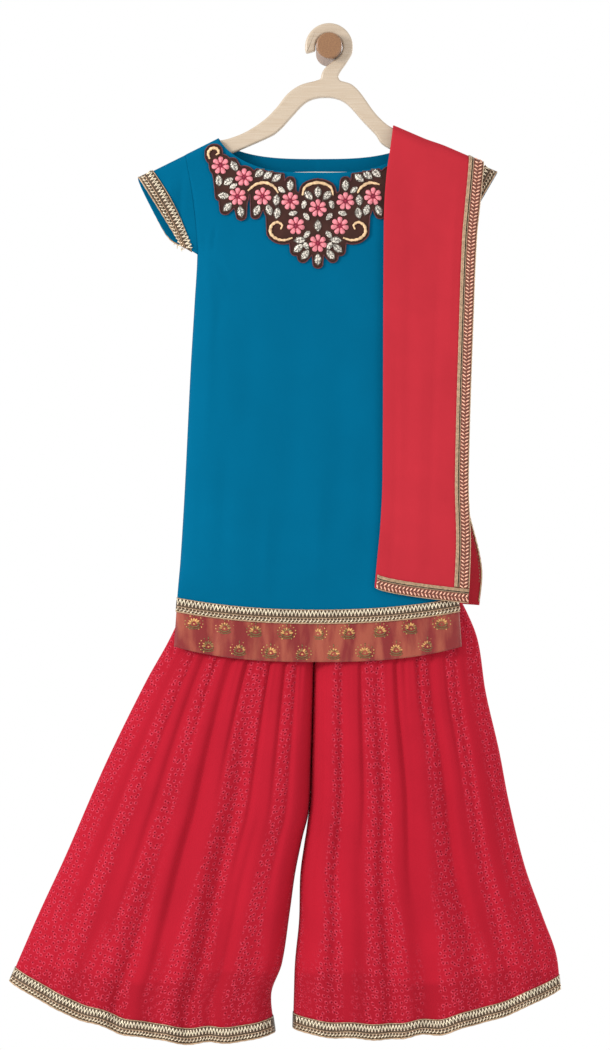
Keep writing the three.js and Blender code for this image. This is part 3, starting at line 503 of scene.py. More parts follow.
def hang_depth(drop, z):
    return mix(RIDGE_DEPTH, body_depth(z), smooth(np.asarray(drop) / FULL_DEPTH_AT))


def side_opening(z):
    return sum(share * smooth((z - start) / (full - start)) for share, start, full in SIDE_OPENS)


def drape(face, share, z):
    height = np.zeros(np.broadcast(share, z).shape)
    for at, top, foot, wide, high in DRAPES[face]:
        along = np.clip((top - z) / (top - foot), 0, 1)
        height = height + high * np.sin(np.pi * along) * np.exp(-((share - at) / wide) ** 2)
    return height


# Small creases: from x and z to x and z, width and height, a trough if the height is negative.
# They reach no farther out than a seam's width where something lies on the cloth.
KURTA_CREASES = {
    -1: [
        (-141, -224, -147, -262, 1.6, -1.8), (-154, -228, -161, -303, 2.6, -1.6),
        (143, -222, 139, -300, 2.6, -1.6), (-146, -700, -143, -775, 6, -1.6),
        (-118, -700, -120, -778, 7, 1.2), (-84, -705, -86, -778, 6, -1.4),
        (-52, -705, -50, -780, 7, 1.1), (-16, -705, -18, -780, 6, -1.5),
        (20, -705, 22, -780, 8, 1.1), (58, -705, 56, -780, 6, -1.3),
        (96, -705, 99, -778, 7, 1.1), (126, -700, 124, -775, 5, -1.4),
        (-152, -266, -148, -330, 4, 1.6), (-146, -262, -120, -300, 5, -1.4),
        (-134, -300, -146, -400, 7, -1.2), (124, -262, 112, -330, 5, -1.3),
        (-96, -330, -110, -560, 14, -1.6), (-40, -360, -54, -660, 18, -1.5),
        (18, -330, 8, -640, 16, -1.3), (-128, -480, -134, -680, 9, -1.4),
        (48, -470, 44, -690, 12, -1.2), (-10, -520, -16, -690, 10, 1.0),
        (-75, -560, -80, -695, 9, 1.1), (-158, -520, -166, -640, 6, -1.0),
    ],
    1: [
        (-150, -270, -140, -340, 5, -1.5), (122, -268, 108, -350, 5, -1.4),
        (-90, -300, -104, -560, 15, -1.7), (-30, -280, -24, -650, 20, -1.6),
        (40, -340, 52, -640, 15, -1.4), (100, -420, 108, -660, 10, -1.2),
        (-130, -450, -138, -660, 9, -1.3),
    ],
}


def creased(rows, x, z, scale):
    """Height of the small creases at a place: each fades out at both of its ends."""
    height = np.zeros(np.broadcast(x, z).shape)
    for from_x, from_z, to_x, to_z, wide, high in rows:
        run = np.array((to_x - from_x, to_z - from_z), float)
        length = np.hypot(*run)
        along = ((x - from_x) * run[0] + (z - from_z) * run[1]) / length ** 2
        across = ((x - from_x) * run[1] - (z - from_z) * run[0]) / length
        fade = np.sin(np.pi * np.clip(along, 0, 1)) ** 0.8
        height = height + scale * high * fade * np.exp(-(across / wide) ** 2)
    return height


def kurta_point(face, share, z, out):
    """A point on the kurta's outside, moved out. share is -1 to 1 across; face is -1 in front."""
    x = share * (body_half(z) + out)
    drop = shoulder_line(x) + out - z
    section = mix(rounded(np.asarray(share)), 1, side_opening(z))
    depth = (hang_depth(drop, z) + out) * ridge(drop) + drape(face, share, z)
    crease = creased(KURTA_CREASES[face], MIDDLE + x, z, garment().kurta.crease)
    depth = depth + crease * smooth(drop / CREASED_FROM)
    return stacked(MIDDLE + x, HANG_Y + face * (SEAM / 2 + depth * section), z)


def neckline(face, x):
    share = np.minimum(np.abs(x) / NECK_HALF, 1)
    return NECK_Z - NECK_DROP[face] * (1 - share ** NECK_POWER) ** NECK_CORNER


def panel_top(face, x, out):
    seam = shoulder_line(x) + out
    return np.where(np.abs(x) >= NECK_HALF, seam, np.minimum(neckline(face, x), seam))


def hem_top(share):
    return HEM_MID + HEM_RISE * np.abs(share) ** HEM_POWER


def band_bottom(share):
    return BAND_MID + BAND_RISE * np.abs(share) ** BAND_POWER


def panel_point(face, x, z, out):
    """A panel's column keeps its place at the shoulder and spreads to the body's width below."""
    spread = smooth((shoulder_line(x) - z) / SPREAD_OVER)
    share = mix(x / (body_half(z) + out), x / SHOULDER_HALF, spread)
    share = np.where(np.abs(x) < SHOULDER_HALF, share, x / SHOULDER_HALF)
    return kurta_point(face, share, z, out)


# Meshes

def garment():
    return bpy.context.scene.garment


def new_object(name, mesh):
    thing = bpy.data.objects.new(name, mesh)
    bpy.context.scene.collection.objects.link(thing)
    return thing


def cloth_mesh(name, points, ring=False, flip=False):
    """A cloth sheet from a net of points in millimetres, with a UV map in metres of cloth."""
    rows, columns = points.shape[:2]
    spans = columns if ring else columns - 1
    closed = np.concatenate([points, points[:, :1]], axis=1) if ring else points
    widths = np.linalg.norm(np.diff(closed, axis=1), axis=2)
    drops = np.linalg.norm(np.diff(points, axis=0), axis=2).mean(axis=1)
    down = np.concatenate([[0], np.cumsum(drops)])
    across = np.concatenate([np.zeros((rows, 1)), np.cumsum(widths, axis=1)], axis=1)
    across = across - across[:, -1:] / 2
    faces = []
    corners = []
    for i in range(rows - 1):
        for j in range(spans):
            ring_of = [(i, j), (i + 1, j), (i + 1, j + 1), (i, j + 1)]
            if flip:
                ring_of.reverse()
            faces.append([r * columns + c % columns for r, c in ring_of])
            corners.extend(ring_of)
    mesh = bpy.data.meshes.new(name)
    mesh.from_pydata((points.reshape(-1, 3) * MM).tolist(), [], faces)
    layer = mesh.uv_layers.new(name="UVMap")
    index = np.array(corners)
    flat = np.stack([across[index[:, 0], index[:, 1]], -down[index[:, 0]]], axis=1) * MM
    layer.data.foreach_set("uv", flat.astype(np.float32).ravel())
    mesh.polygons.foreach_set("use_smooth", [True] * len(mesh.polygons))
    return mesh


def walled(name, points, wall, ring=False, flip=False):
    """A cloth sheet with its thickness laid inwards from its outside."""
    thing = new_object(name, cloth_mesh(name, points, ring, flip))
    solidify = thing.modifiers.new("Cloth wall", "SOLIDIFY")
    solidify.thickness = wall
    solidify.offset = -1.0
    return baked(thing)


def baked(thing):
    """Turns an object and its modifiers into one plain mesh."""
    bpy.context.view_layer.update()
    evaluated = thing.evaluated_get(bpy.context.evaluated_depsgraph_get())
    mesh = bpy.data.meshes.new_from_object(evaluated)
    thing.modifiers.clear()
    old = thing.data
    thing.data = mesh
    mesh.name = thing.name
    bpy.data.meshes.remove(old)
    return thing


def dressed(thing, material, slot, *nodes):
    """Gives a piece its material and its body, and hides the solids that it stands for; slot is not
    used.
    """
    thing.data.materials.clear()
    thing.data.materials.append(material)
    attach(thing, "root")
    if nodes:
        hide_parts(*nodes)
    return thing


def merged(name, pieces):
    """Joins meshes given as vertices and faces into one."""
    vertices = []
    faces = []
    for points, sides in pieces:
        start = len(vertices)
        vertices.extend(points)
        faces.extend([[start + k for k in side] for side in sides])
    mesh = bpy.data.meshes.new(name)
    mesh.from_pydata([tuple(np.array(v) * MM) for v in vertices], [], faces)
    mesh.polygons.foreach_set("use_smooth", [True] * len(mesh.polygons))
    return mesh


# Materials

def node(tree, kind, links=None, **settings):
    """Adds a node with its settings. links maps an input's name or number to a value or socket."""
    made = tree.nodes.new(kind)
    for key, value in settings.items():
        setattr(made, key, value)
    for key, value in (links or {}).items():
        socket = made.inputs[key]
        if isinstance(value, bpy.types.NodeSocket):
            tree.links.new(value, socket)
        else:
            socket.default_value = value
    return made


def new_material(name, colour, roughness, sockets=None):
    """A principled material. sockets maps the names of the shader's other inputs to values."""
    material = bpy.data.materials.new(name)
    material.use_nodes = True
    tree = material.node_tree
    shader = tree.nodes["Principled BSDF"]
    shader.inputs["Base Color"].default_value = (*colour, 1.0)
    shader.inputs["Roughness"].default_value = roughness
    for key, value in (sockets or {}).items():
        shader.inputs[key].default_value = value
    return material, tree, shader


def weave(tree, shader, threads_mm):
    """A plain weave as bump: two sets of threads at a right angle on the cloth's own map."""
    place = node(tree, "ShaderNodeTexCoord")
    apart = node(tree, "ShaderNodeSeparateXYZ", {0: place.outputs["UV"]})
    turns = 2 * math.pi / (threads_mm * MM)
    waves = []
    for axis in ("X", "Y"):
        angle = node(tree, "ShaderNodeMath", {0: apart.outputs[axis], 1: turns}, operation="MULTIPLY")
        waves.append(node(tree, "ShaderNodeMath", {0: angle.outputs[0]}, operation="SINE"))
    both = node(tree, "ShaderNodeMath", {
        0: waves[0].outputs[0], 1: waves[1].outputs[0],
    }, operation="MULTIPLY")
    bump = node(tree, "ShaderNodeBump", {
        "Strength": 0.2, "Distance": 0.2 * MM, "Height": both.outputs[0],
    })
    tree.links.new(bump.outputs[0], shader.inputs["Normal"])
    return place, bump


def shaded(tree, shader, place, low, high, scale, output="UV", soft=0.2):
    """Changes of shade across a surface, between two colours; less soft makes them specks."""
    noise = node(tree, "ShaderNodeTexNoise", {
        "Vector": place.outputs[output], "Scale": scale, "Detail": 3.0,
    })
    ramp = node(tree, "ShaderNodeMapRange", {
        "Value": noise.outputs["Fac"], "From Min": 0.5 - soft, "From Max": 0.5 + soft,
    })
    # A mix node has its share at input 0 and its two colours at 6 and 7
    blend = node(tree, "ShaderNodeMix", {0: ramp.outputs[0], 6: low, 7: high}, data_type="RGBA")
    tree.links.new(blend.outputs[2], shader.inputs["Base Color"])
    return blend


def tinted(colour, factor):
    return (*[min(c * factor, 1.0) for c in colour], 1.0)


def crepe_material(name, colour, spread=0.06):
    """Polyester crepe: twisted threads leave a fine pebbled face that hardly shines."""
    material, tree, shader = new_material(name, colour, 0.85, {
        "Sheen Weight": 0.06, "Sheen Roughness": 0.5, "Sheen Tint": (*colour, 1.0),
        "Specular IOR Level": 0.02,
    })
    # Real crepe has threads under 0.3 mm; 0.9 mm is as fine as still shows
    place, _ = weave(tree, shader, 0.9)
    shaded(tree, shader, place, tinted(colour, 1 - spread), tinted(colour, 1 + spread), 14.0)
    return material


def velvet_material(name, colour):
    """Cotton velvet: a short upright pile, dark face on and lighter along the edges."""
    material, tree, shader = new_material(name, colour, 0.95, {
        "Sheen Weight": 0.6, "Sheen Roughness": 0.35, "Specular IOR Level": 0.2,
    })
    place = node(tree, "ShaderNodeTexCoord")
    pile = node(tree, "ShaderNodeTexNoise", {"Vector": place.outputs["Object"], "Scale": 1200.0})
    bump = node(tree, "ShaderNodeBump", {
        "Strength": 0.4, "Distance": 0.3 * MM, "Height": pile.outputs["Fac"],
    })
    tree.links.new(bump.outputs[0], shader.inputs["Normal"])
    shaded(tree, shader, place, tinted(colour, 0.8), tinted(colour, 1.25), 60.0, output="Object")
    return material


def thread_material(name, colour, roughness, metallic, pitch_mm=0.7, dark=0.7, light=1.25,
                    size=320.0, soft=0.2):
    """Embroidery thread: glossy filament laid side by side, with fine grooves between."""
    material, tree, shader = new_material(name, colour, roughness, {"Metallic": metallic})
    place = node(tree, "ShaderNodeTexCoord")
    grooves = node(tree, "ShaderNodeTexWave", {
        "Vector": place.outputs["Object"], "Scale": 1 / (pitch_mm * MM * math.pi),
        "Distortion": 2.0, "Detail": 1.0,
    }, bands_direction="DIAGONAL")
    bump = node(tree, "ShaderNodeBump", {
        "Strength": 0.5, "Distance": 0.2 * MM, "Height": grooves.outputs["Fac"],
    })
    tree.links.new(bump.outputs[0], shader.inputs["Normal"])
    shaded(tree, shader, place, tinted(colour, dark), tinted(colour, light), size,
           output="Object", soft=soft)
    return material


def brocade_material(name, fold_shade_red, fold_lit_red):
    """Silk band of two reds mixed in soft upright bands, painted shade and light of soft folds; it
    shines.
    """
    material, tree, shader = new_material(name, fold_lit_red, 0.45, {
        "Sheen Weight": 0.15, "Specular IOR Level": 0.3,
    })
    place, _ = weave(tree, shader, 1.0)
    stretched = node(tree, "ShaderNodeMapping", {
        "Vector": place.outputs["UV"], "Scale": (55.0, 14.0, 1.0),
    })
    noise = node(tree, "ShaderNodeTexNoise", {
        "Vector": stretched.outputs[0], "Scale": 1.0, "Detail": 4.0,
    })
    ramp = node(tree, "ShaderNodeMapRange", {
        "Value": noise.outputs["Fac"], "From Min": 0.42, "From Max": 0.6,
    })
    # Painted shade and light: the two reds lie in soft upright bands, as the shade and light of soft
    # folds
    blend = node(tree, "ShaderNodeMix", {
        0: ramp.outputs[0], 6: (*fold_shade_red, 1.0), 7: (*fold_lit_red, 1.0),
    }, data_type="RGBA")
    tree.links.new(blend.outputs[2], shader.inputs["Base Color"])
    return material


def eyelet_cotton_material(name, colour, thread, pitch):
    """Embroidered cotton: small holes ringed with thread, in upright bands with plain ones
    between them, over a fine plain weave. The holes are painted dark as shade, and below the
    lining's edge, where the cloth is single, it is painted darker as shade from the leg's inside."""
    material, tree, shader = new_material(name, colour, 0.85, {
        "Sheen Weight": 0.08, "Sheen Tint": (*colour, 1.0), "Specular IOR Level": 0.04,
    })
    place, bump = weave(tree, shader, 1.0)
    cells = node(tree, "ShaderNodeTexVoronoi", {
        "Vector": place.outputs["UV"], "Scale": 1 / pitch, "Randomness": 0.65,
    }, voronoi_dimensions="2D")
    far = cells.outputs["Distance"]
    # Shares of the spacing: the holes are about 2 mm wide and the rings 5 mm
    hole = node(tree, "ShaderNodeMapRange", {
        "Value": far, "From Min": 0.11, "From Max": 0.2, "To Min": 1.0, "To Max": 0.0,
    })
    ring = node(tree, "ShaderNodeMapRange", {
        "Value": far, "From Min": 0.32, "From Max": 0.44, "To Min": 1.0, "To Max": 0.0,
    })
    # Satin stitches lie across the ring and break it into specks
    specks = node(tree, "ShaderNodeTexNoise", {
        "Vector": place.outputs["UV"], "Scale": 420.0, "Detail": 2.0,
    })
    broken = node(tree, "ShaderNodeMapRange", {
        "Value": specks.outputs["Fac"], "From Min": 0.4, "From Max": 0.62,
    })
    bands = node(tree, "ShaderNodeAttribute", attribute_name="bands")
    stitched = node(tree, "ShaderNodeMath", {
        0: ring.outputs[0], 1: bands.outputs["Fac"],
    }, operation="MULTIPLY")
    shown_ring = node(tree, "ShaderNodeMath", {
        0: stitched.outputs[0], 1: broken.outputs[0],
    }, operation="MULTIPLY")
    shown_hole = node(tree, "ShaderNodeMath", {
        0: hole.outputs[0], 1: bands.outputs["Fac"],
    }, operation="MULTIPLY")
    ground = shaded(tree, shader, place, tinted(colour, 0.94), tinted(colour, 1.05), 12.0)
    # Painted shade: the cotton is darker below the lining's edge, where the single cloth shows the leg's
    # shaded inside
    unlined = node(tree, "ShaderNodeAttribute", attribute_name="unlined")
    single = node(tree, "ShaderNodeMix", {
        0: unlined.outputs["Fac"], 6: ground.outputs[2], 7: tinted(colour, 0.86),
    }, data_type="RGBA")
    with_ring = node(tree, "ShaderNodeMix", {
        0: shown_ring.outputs[0], 6: single.outputs[2], 7: (*thread, 1.0),
    }, data_type="RGBA")
    # Painted shade: the holes are dark red, as the shade inside an eyelet
    with_painted_hole_shade = node(tree, "ShaderNodeMix", {
        0: shown_hole.outputs[0], 6: with_ring.outputs[2], 7: linear("#740D1C"),
    }, data_type="RGBA")
    tree.links.new(with_painted_hole_shade.outputs[2], shader.inputs["Base Color"])
    relief = node(tree, "ShaderNodeMath", {
        0: stitched.outputs[0], 1: shown_hole.outputs[0],
    }, operation="SUBTRACT")
    raised = node(tree, "ShaderNodeBump", {
        "Strength": 0.5, "Distance": 0.5 * MM, "Height": relief.outputs[0],
        "Normal": bump.outputs[0],
    })
    tree.links.new(raised.outputs[0], shader.inputs["Normal"])
    return material


def wood_material(name, light, dark, roughness, grain_mm, axis):
    """Planed and lacquered wood: long fine grain with a soft satin shine."""
    material, tree, shader = new_material(name, linear(light, alpha=False), roughness, {
        "Coat Weight": 0.25, "Coat Roughness": 0.3,
    })
    place = node(tree, "ShaderNodeTexCoord")
    across = 1 / (grain_mm * MM)
    scale = [across, across, across]
    # The grain is this many times as long as it is wide
    scale[axis] = across / 25
    stretched = node(tree, "ShaderNodeMapping", {"Vector": place.outputs["Object"], "Scale": scale})
    grain = node(tree, "ShaderNodeTexNoise", {
        "Vector": stretched.outputs[0], "Scale": 1.0, "Detail": 5.0, "Distortion": 0.4,
    })
    ramp = node(tree, "ShaderNodeMapRange", {
        "Value": grain.outputs["Fac"], "From Min": 0.35, "From Max": 0.7,
    })
    blend = node(tree, "ShaderNodeMix", {
        0: ramp.outputs[0], 6: linear(light), 7: linear(dark),
    }, data_type="RGBA")
    tree.links.new(blend.outputs[2], shader.inputs["Base Color"])
    bump = node(tree, "ShaderNodeBump", {
        "Strength": 0.1, "Distance": 0.1 * MM, "Height": grain.outputs["Fac"],
    })
    tree.links.new(bump.outputs[0], shader.inputs["Normal"])
    return material


MATERIALS = {}


def make_materials():
    """Makes every finish of the set, in the colours that the panel shows."""
    g = garment()
    gold = tuple(g.lace.gold)
    MATERIALS.update({
        "teal_crepe": crepe_material("teal_crepe", tuple(g.kurta.crepe), 0.03),
        "coral_crepe": crepe_material("coral_crepe", tuple(g.dupatta.crepe), 0.05),
        "brown_velvet": velvet_material("brown_velvet", tuple(g.yoke.velvet)),
        "maroon_border": thread_material("maroon_border_thread", tuple(g.yoke.border), 0.6, 0.0),
        "pink_thread": thread_material(
            "pink_satin_thread", tuple(g.yoke.petal), 0.5, 0.0, dark=0.75, light=1.2, size=300.0,
            soft=0.1,
        ),
        "crimson_thread": thread_material("crimson_thread", tuple(g.yoke.heart), 0.5, 0.0),
        # Painted highlights and shade: the silver thread is in sharp white and dark specks, as the
        # glints of the stitches and the dark gaps between them
        "silver_thread": thread_material(
            "silver_thread", tuple(g.yoke.silver), 0.42, 0.1, dark=0.3, light=1.25, size=520.0,
            soft=0.06,
        ),
        "vein_thread": thread_material("dark_vein_thread", linear("#4E4038", False), 0.6, 0.1),
        "cream_cord": thread_material("cream_cord", tuple(g.yoke.cream), 0.5, 0.15, 1.6),
        "gold_thread": thread_material("gold_lace_thread", gold, 0.34, 0.35, light=1.5, size=240.0),
        "gold_cord": thread_material("gold_cord", linear("#AA8E70", False), 0.45, 0.3),
        "rose_thread": thread_material(
            "rose_gold_thread", linear("#D69C84", False), 0.34, 0.35, light=1.5, size=240.0,
        ),
        "rose_beads": thread_material("rose_gold_beads", linear("#F2CDB4", False), 0.25, 0.4),
        # Painted glints and shade: the gold weft is in sharp light and dark patches, as metal thread
        # that catches the light in places
        "gold_weft_glints": thread_material(
            "antique_gold_weft", linear("#B58850", False), 0.4, 0.35, dark=0.35, light=1.4,
            size=200.0, soft=0.1,
        ),
        "olive_thread": thread_material("olive_weft", linear("#6E5A34", False), 0.5, 0.25),
        # Both lace grounds are dark as painted shade between the threads
        "lace_ground": thread_material("lace_ground", tuple(g.lace.shade), 0.6, 0.2),
        "rose_ground_shade": thread_material("rose_lace_ground", linear("#6E3A2C", False), 0.6, 0.1),
        # A near-black thread: painted shadow in the slit of the dupatta's lace
        "slit_shadow_cord": thread_material("dark_slit_thread", linear("#1F1A13", False), 0.8, 0.0),
        "pale_cord": thread_material("pale_olive_cord", linear("#B5A77E", False), 0.5, 0.2),
        "pale_facing": crepe_material("pale_facing", linear("#CFCAC0", False)),
        "shot_silk": brocade_material("shot_silk", tuple(g.kurta.fold_shade_red), tuple(g.kurta.fold_lit_red)),
        "eyelet_cotton": eyelet_cotton_material(
            "eyelet_cotton", tuple(g.sharara.cotton), tuple(g.sharara.thread), g.sharara.eyelet,
        ),
        "plain_cotton": crepe_material("plain_red_cotton", tuple(g.sharara.cotton)),
        "beech": wood_material("lacquered_beech", "#B9A995", "#AF9C85", 0.42, 1.6, 0),
        "peg_wood": wood_material("turned_peg_wood", "#8B633F", "#744E31", 0.45, 1.4, 1),
    })


# Geometry Nodes that lay a repeated motif on points

def scatter_tree(name):
    """Sets copies of one object on points, each turned by the point's own turn."""
    tree = bpy.data.node_groups.new(name, "GeometryNodeTree")
    side = tree.interface.new_socket
    side("Geometry", in_out="INPUT", socket_type="NodeSocketGeometry")
    side("Motif", in_out="INPUT", socket_type="NodeSocketObject")
    side("Size", in_out="INPUT", socket_type="NodeSocketFloat")
    side("Material", in_out="INPUT", socket_type="NodeSocketMaterial")
    side("Geometry", in_out="OUTPUT", socket_type="NodeSocketGeometry")
    given = node(tree, "NodeGroupInput")
    motif = node(tree, "GeometryNodeObjectInfo", {"Object": given.outputs["Motif"]})
    turn = node(tree, "GeometryNodeInputNamedAttribute", {"Name": "turn"}, data_type="FLOAT_VECTOR")
    rotation = node(tree, "FunctionNodeEulerToRotation", {0: turn.outputs["Attribute"]})
    copies = node(tree, "GeometryNodeInstanceOnPoints", {
        "Points": given.outputs["Geometry"], "Instance": motif.outputs["Geometry"],
        "Rotation": rotation.outputs[0], "Scale": given.outputs["Size"],
    })
    real = node(tree, "GeometryNodeRealizeInstances", {0: copies.outputs[0]})
    finish = node(tree, "GeometryNodeSetMaterial", {
        "Geometry": real.outputs[0], "Material": given.outputs["Material"],
    })
    result = node(tree, "NodeGroupOutput")
    tree.links.new(finish.outputs[0], result.inputs[0])
    return tree


def scattered(name, spots, motif, material):
    """One mesh of a motif set on each spot, a point in millimetres with its right and up."""
    tree = bpy.data.node_groups.get("scatter_motif") or scatter_tree("scatter_motif")
    mesh = bpy.data.meshes.new(name)
    mesh.from_pydata([tuple(np.array(point) * MM) for point, _, _ in spots], [], [])
    turns = mesh.attributes.new("turn", "FLOAT_VECTOR", "POINT")
    for k, (_, right, up) in enumerate(spots):
        turns.data[k].vector = turned(right, up)
    thing = new_object(name, mesh)
    laid = thing.modifiers.new("Scatter", "NODES")
    laid.node_group = tree
    values = {"Motif": motif, "Size": 1.0, "Material": material}
    for item in tree.interface.items_tree:
        if item.in_out == "INPUT" and item.name in values:
            laid[item.identifier] = values[item.name]
    return baked(thing)


def turned(right, up):
    """Euler angles that bring +X to right and +Y to up."""
    x = Vector(right).normalized()
    z = x.cross(Vector(up)).normalized()
    y = z.cross(x)
    return Matrix((x, y, z)).transposed().to_euler()


def template(name, pieces):
    """A motif drawn flat about the origin, kept out of the scene once it has been copied."""
    return new_object(name, merged(name, pieces))


def dropped(*templates):
    for thing in templates:
        mesh = thing.data
        bpy.data.objects.remove(thing)
        bpy.data.meshes.remove(mesh)


def ring_faces(rings, sides):
    """Faces between rings of points that follow each other, each with as many sides."""
    faces = []
    for ring in range(rings - 1):
        for k in range(sides):
            a, b = ring * sides + k, ring * sides + (k + 1) % sides
            faces.append([a, b, b + sides, a + sides])
    return faces


def padded(outline, high, foot=-0.4, rings=3):
    """A stuffed shape over an outline, highest in its middle and closed below."""
    outline = np.asarray(outline, float)
    middle = outline.mean(axis=0)
    sides = len(outline)
    points = []
    for ring in range(rings):
        up = ring / rings * math.pi / 2
        for x, y in middle + (outline - middle) * math.cos(up):
            points.append((x, y, foot + (high - foot) * math.sin(up)))
    points.append((*middle, high))
    faces = [list(range(sides))[::-1], *ring_faces(rings, sides)]
    top = (rings - 1) * sides
    faces.extend([top + k, top + (k + 1) % sides, rings * sides] for k in range(sides))
    return points, faces


def dome(middle, radius, high, rings=3, sides=10, foot=0.0):
    """A low round bead or knot, closed below, or an oval one if its radius is a pair."""
    angles = 2 * np.pi * np.arange(sides) / sides
    circle = np.stack([np.cos(angles), np.sin(angles)], axis=1)
    return padded(np.array(middle) + np.array(radius) * circle, foot + high, foot, rings)


def lens(foot, tip, wide, high, low=-0.4, sides=10):
    """A stuffed leaf, pointed at both ends."""
    foot, tip = np.array(foot, float), np.array(tip, float)
    along = (tip - foot) / 2
    across = np.array((-along[1], along[0])) / np.linalg.norm(along)
    angles = 2 * np.pi * np.arange(sides) / sides
    bulge = np.sign(np.sin(angles)) * np.abs(np.sin(angles)) ** 1.35
    outline = (foot + tip) / 2 + np.cos(angles)[:, None] * along + (wide * bulge)[:, None] * across
    return padded(outline, high, low, rings=2)


def tube(path, radius, sides, twist=0.0):
    """A closed round thread along a path of points; twist lays a rope's lumps round it."""
    path = np.asarray(path, float)
    radii = np.broadcast_to(radius, len(path))
    along = np.gradient(path, axis=0)
    along /= np.linalg.norm(along, axis=1, keepdims=True)
    guide = np.array((0.0, 0.0, 1.0)) if abs(along[0][2]) < 0.9 else np.array((0.0, 1.0, 0.0))
    side = np.cross(along[0], guide)
    points = []
    for k, (place, direction) in enumerate(zip(path, along)):
        side = side - np.dot(side, direction) * direction
        side /= np.linalg.norm(side)
        up = np.cross(side, direction)
        for j in range(sides):
            angle = 2 * math.pi * j / sides
            lump = CORD_LUMP * math.sin(2 * angle + twist * k) if twist else 0.0
            swell = radii[k] * (1 + lump)
            points.append(place + swell * (math.cos(angle) * side + math.sin(angle) * up))
    last = len(path) - 1
    faces = [list(range(sides)), [last * sides + j for j in reversed(range(sides))]]
    faces.extend(face[::-1] for face in ring_faces(len(path), sides))
    return [tuple(p) for p in points], faces


# Lace

def lace_frames(surface, alongs, step, upright, turned_edge):
    """Places along a lace with its right and up. surface(along, across, out) gives a point of it,
    across 0 at one edge and 1 at the other; turned_edge leaves out the fold at a tube's edge."""
    middle = surface(alongs, 0.5, THREAD_SEAT)
    right = surface(alongs + step, 0.5, THREAD_SEAT) - surface(alongs - step, 0.5, THREAD_SEAT)
    up = surface(alongs, 0.0, THREAD_SEAT) - surface(alongs, 1.0, THREAD_SEAT)
    away = surface(alongs, 0.5, THREAD_SEAT + 1) - middle
    frames = []
    for here, along, high, out in zip(middle, right, up, away):
        normal = np.cross(along, high)
        if np.dot(normal, out) < 0:
            along = -along
        if turned_edge and abs(normal[1]) < FACING_LEAST * np.linalg.norm(normal):
            continue
        frames.append((here, along, high) if upright else (here, -along, -high))
    return frames


# One repeat of each kind of lace. Places are shares of the repeat along the lace and
# millimetres down from its upper edge: V teeth and a slant with their heights, or the
# dupatta's braid of slanting links, and beads with their radius and height.
LACE_TEETH = [
    ((-0.5, 0.8, 0.3), (0, 7.4, 0.7)),
    ((0, 7.4, 0.7), (0.5, 0.8, 0.3)),
    ((-0.3, 15.9, 0.3), (0.35, 12.9, 0.6)),
]
LACE_LINKS = [((-0.5, 1.0), (0.25, 6.4)), ((0.45, 6.0), (-0.3, 11.4))]
LINK_WIDTH = 1.15
LINK_HEIGHT = 1.3
LINK_FOOT = 0.1
LACE_BEADS = {
    "teeth": [(0, 7.8, 1.0, 1.4), (0.5, 2.0, 0.8, 1.2), (0.25, 11.9, 0.9, 1.2)],
    "links": [(-0.15, 3.4, 0.95, 1.6), (0.1, 8.6, 0.95, 1.6)],
}
# A motif that would lie on the turned edge of a tube is left out: its least share of facing out
FACING_LEAST = 0.45


def lace_templates(kind):
    """One repeat of the lace in two parts, its threads and its bright rosy beads."""
    g = garment().lace
    pitch = g.pitch / MM

    def at(share, down, *height):
        return (share * pitch, LACE_WIDTH / 2 - down, *height)

    if kind == "links":
        threads = [
            lens(at(*foot), at(*tip), LINK_WIDTH, LINK_HEIGHT, LINK_FOOT, sides=8)
            for foot, tip in LACE_LINKS
        ]
    else:
        threads = [tube([at(*foot), at(*tip)], g.thread / MM, 4) for foot, tip in LACE_TEETH]
    beads = [
        dome(at(share, down), radius, high, sides=6, rings=2)
        for share, down, radius, high in LACE_BEADS[kind]
    ]
    return template("lace_threads", threads), template("lace_beads", beads)


# The cords laid along each kind of lace: place across it and radius
LACE_CORDS = {
    "teeth": [("cords", [(0.03, 0.6), (0.61, 0.5), (0.79, 0.6), (0.965, 1.0)], "gold_cord")],
    "links": [
        ("cords", [(0.04, 0.8), (0.11, 0.8), (0.18, 0.8), (0.31, 0.45), (0.97, 0.6)], "gold_cord"),
        # A near-black cord along the slit: painted shadow in the slit
        ("slit", [(0.25, 0.55)], "slit_shadow_cord"),
    ],
}
CORD_STEP = 2.2
# What each kind's ground and threads are of
LACE_MATERIALS = {"teeth": ("lace_ground", "gold_thread"), "links": ("rose_ground_shade", "rose_thread")}


def lace_length(surface):
    path = surface(np.linspace(0, 1, 90), 0.5, 0.0)
    return float(np.linalg.norm(np.diff(path, axis=0), axis=1).sum())


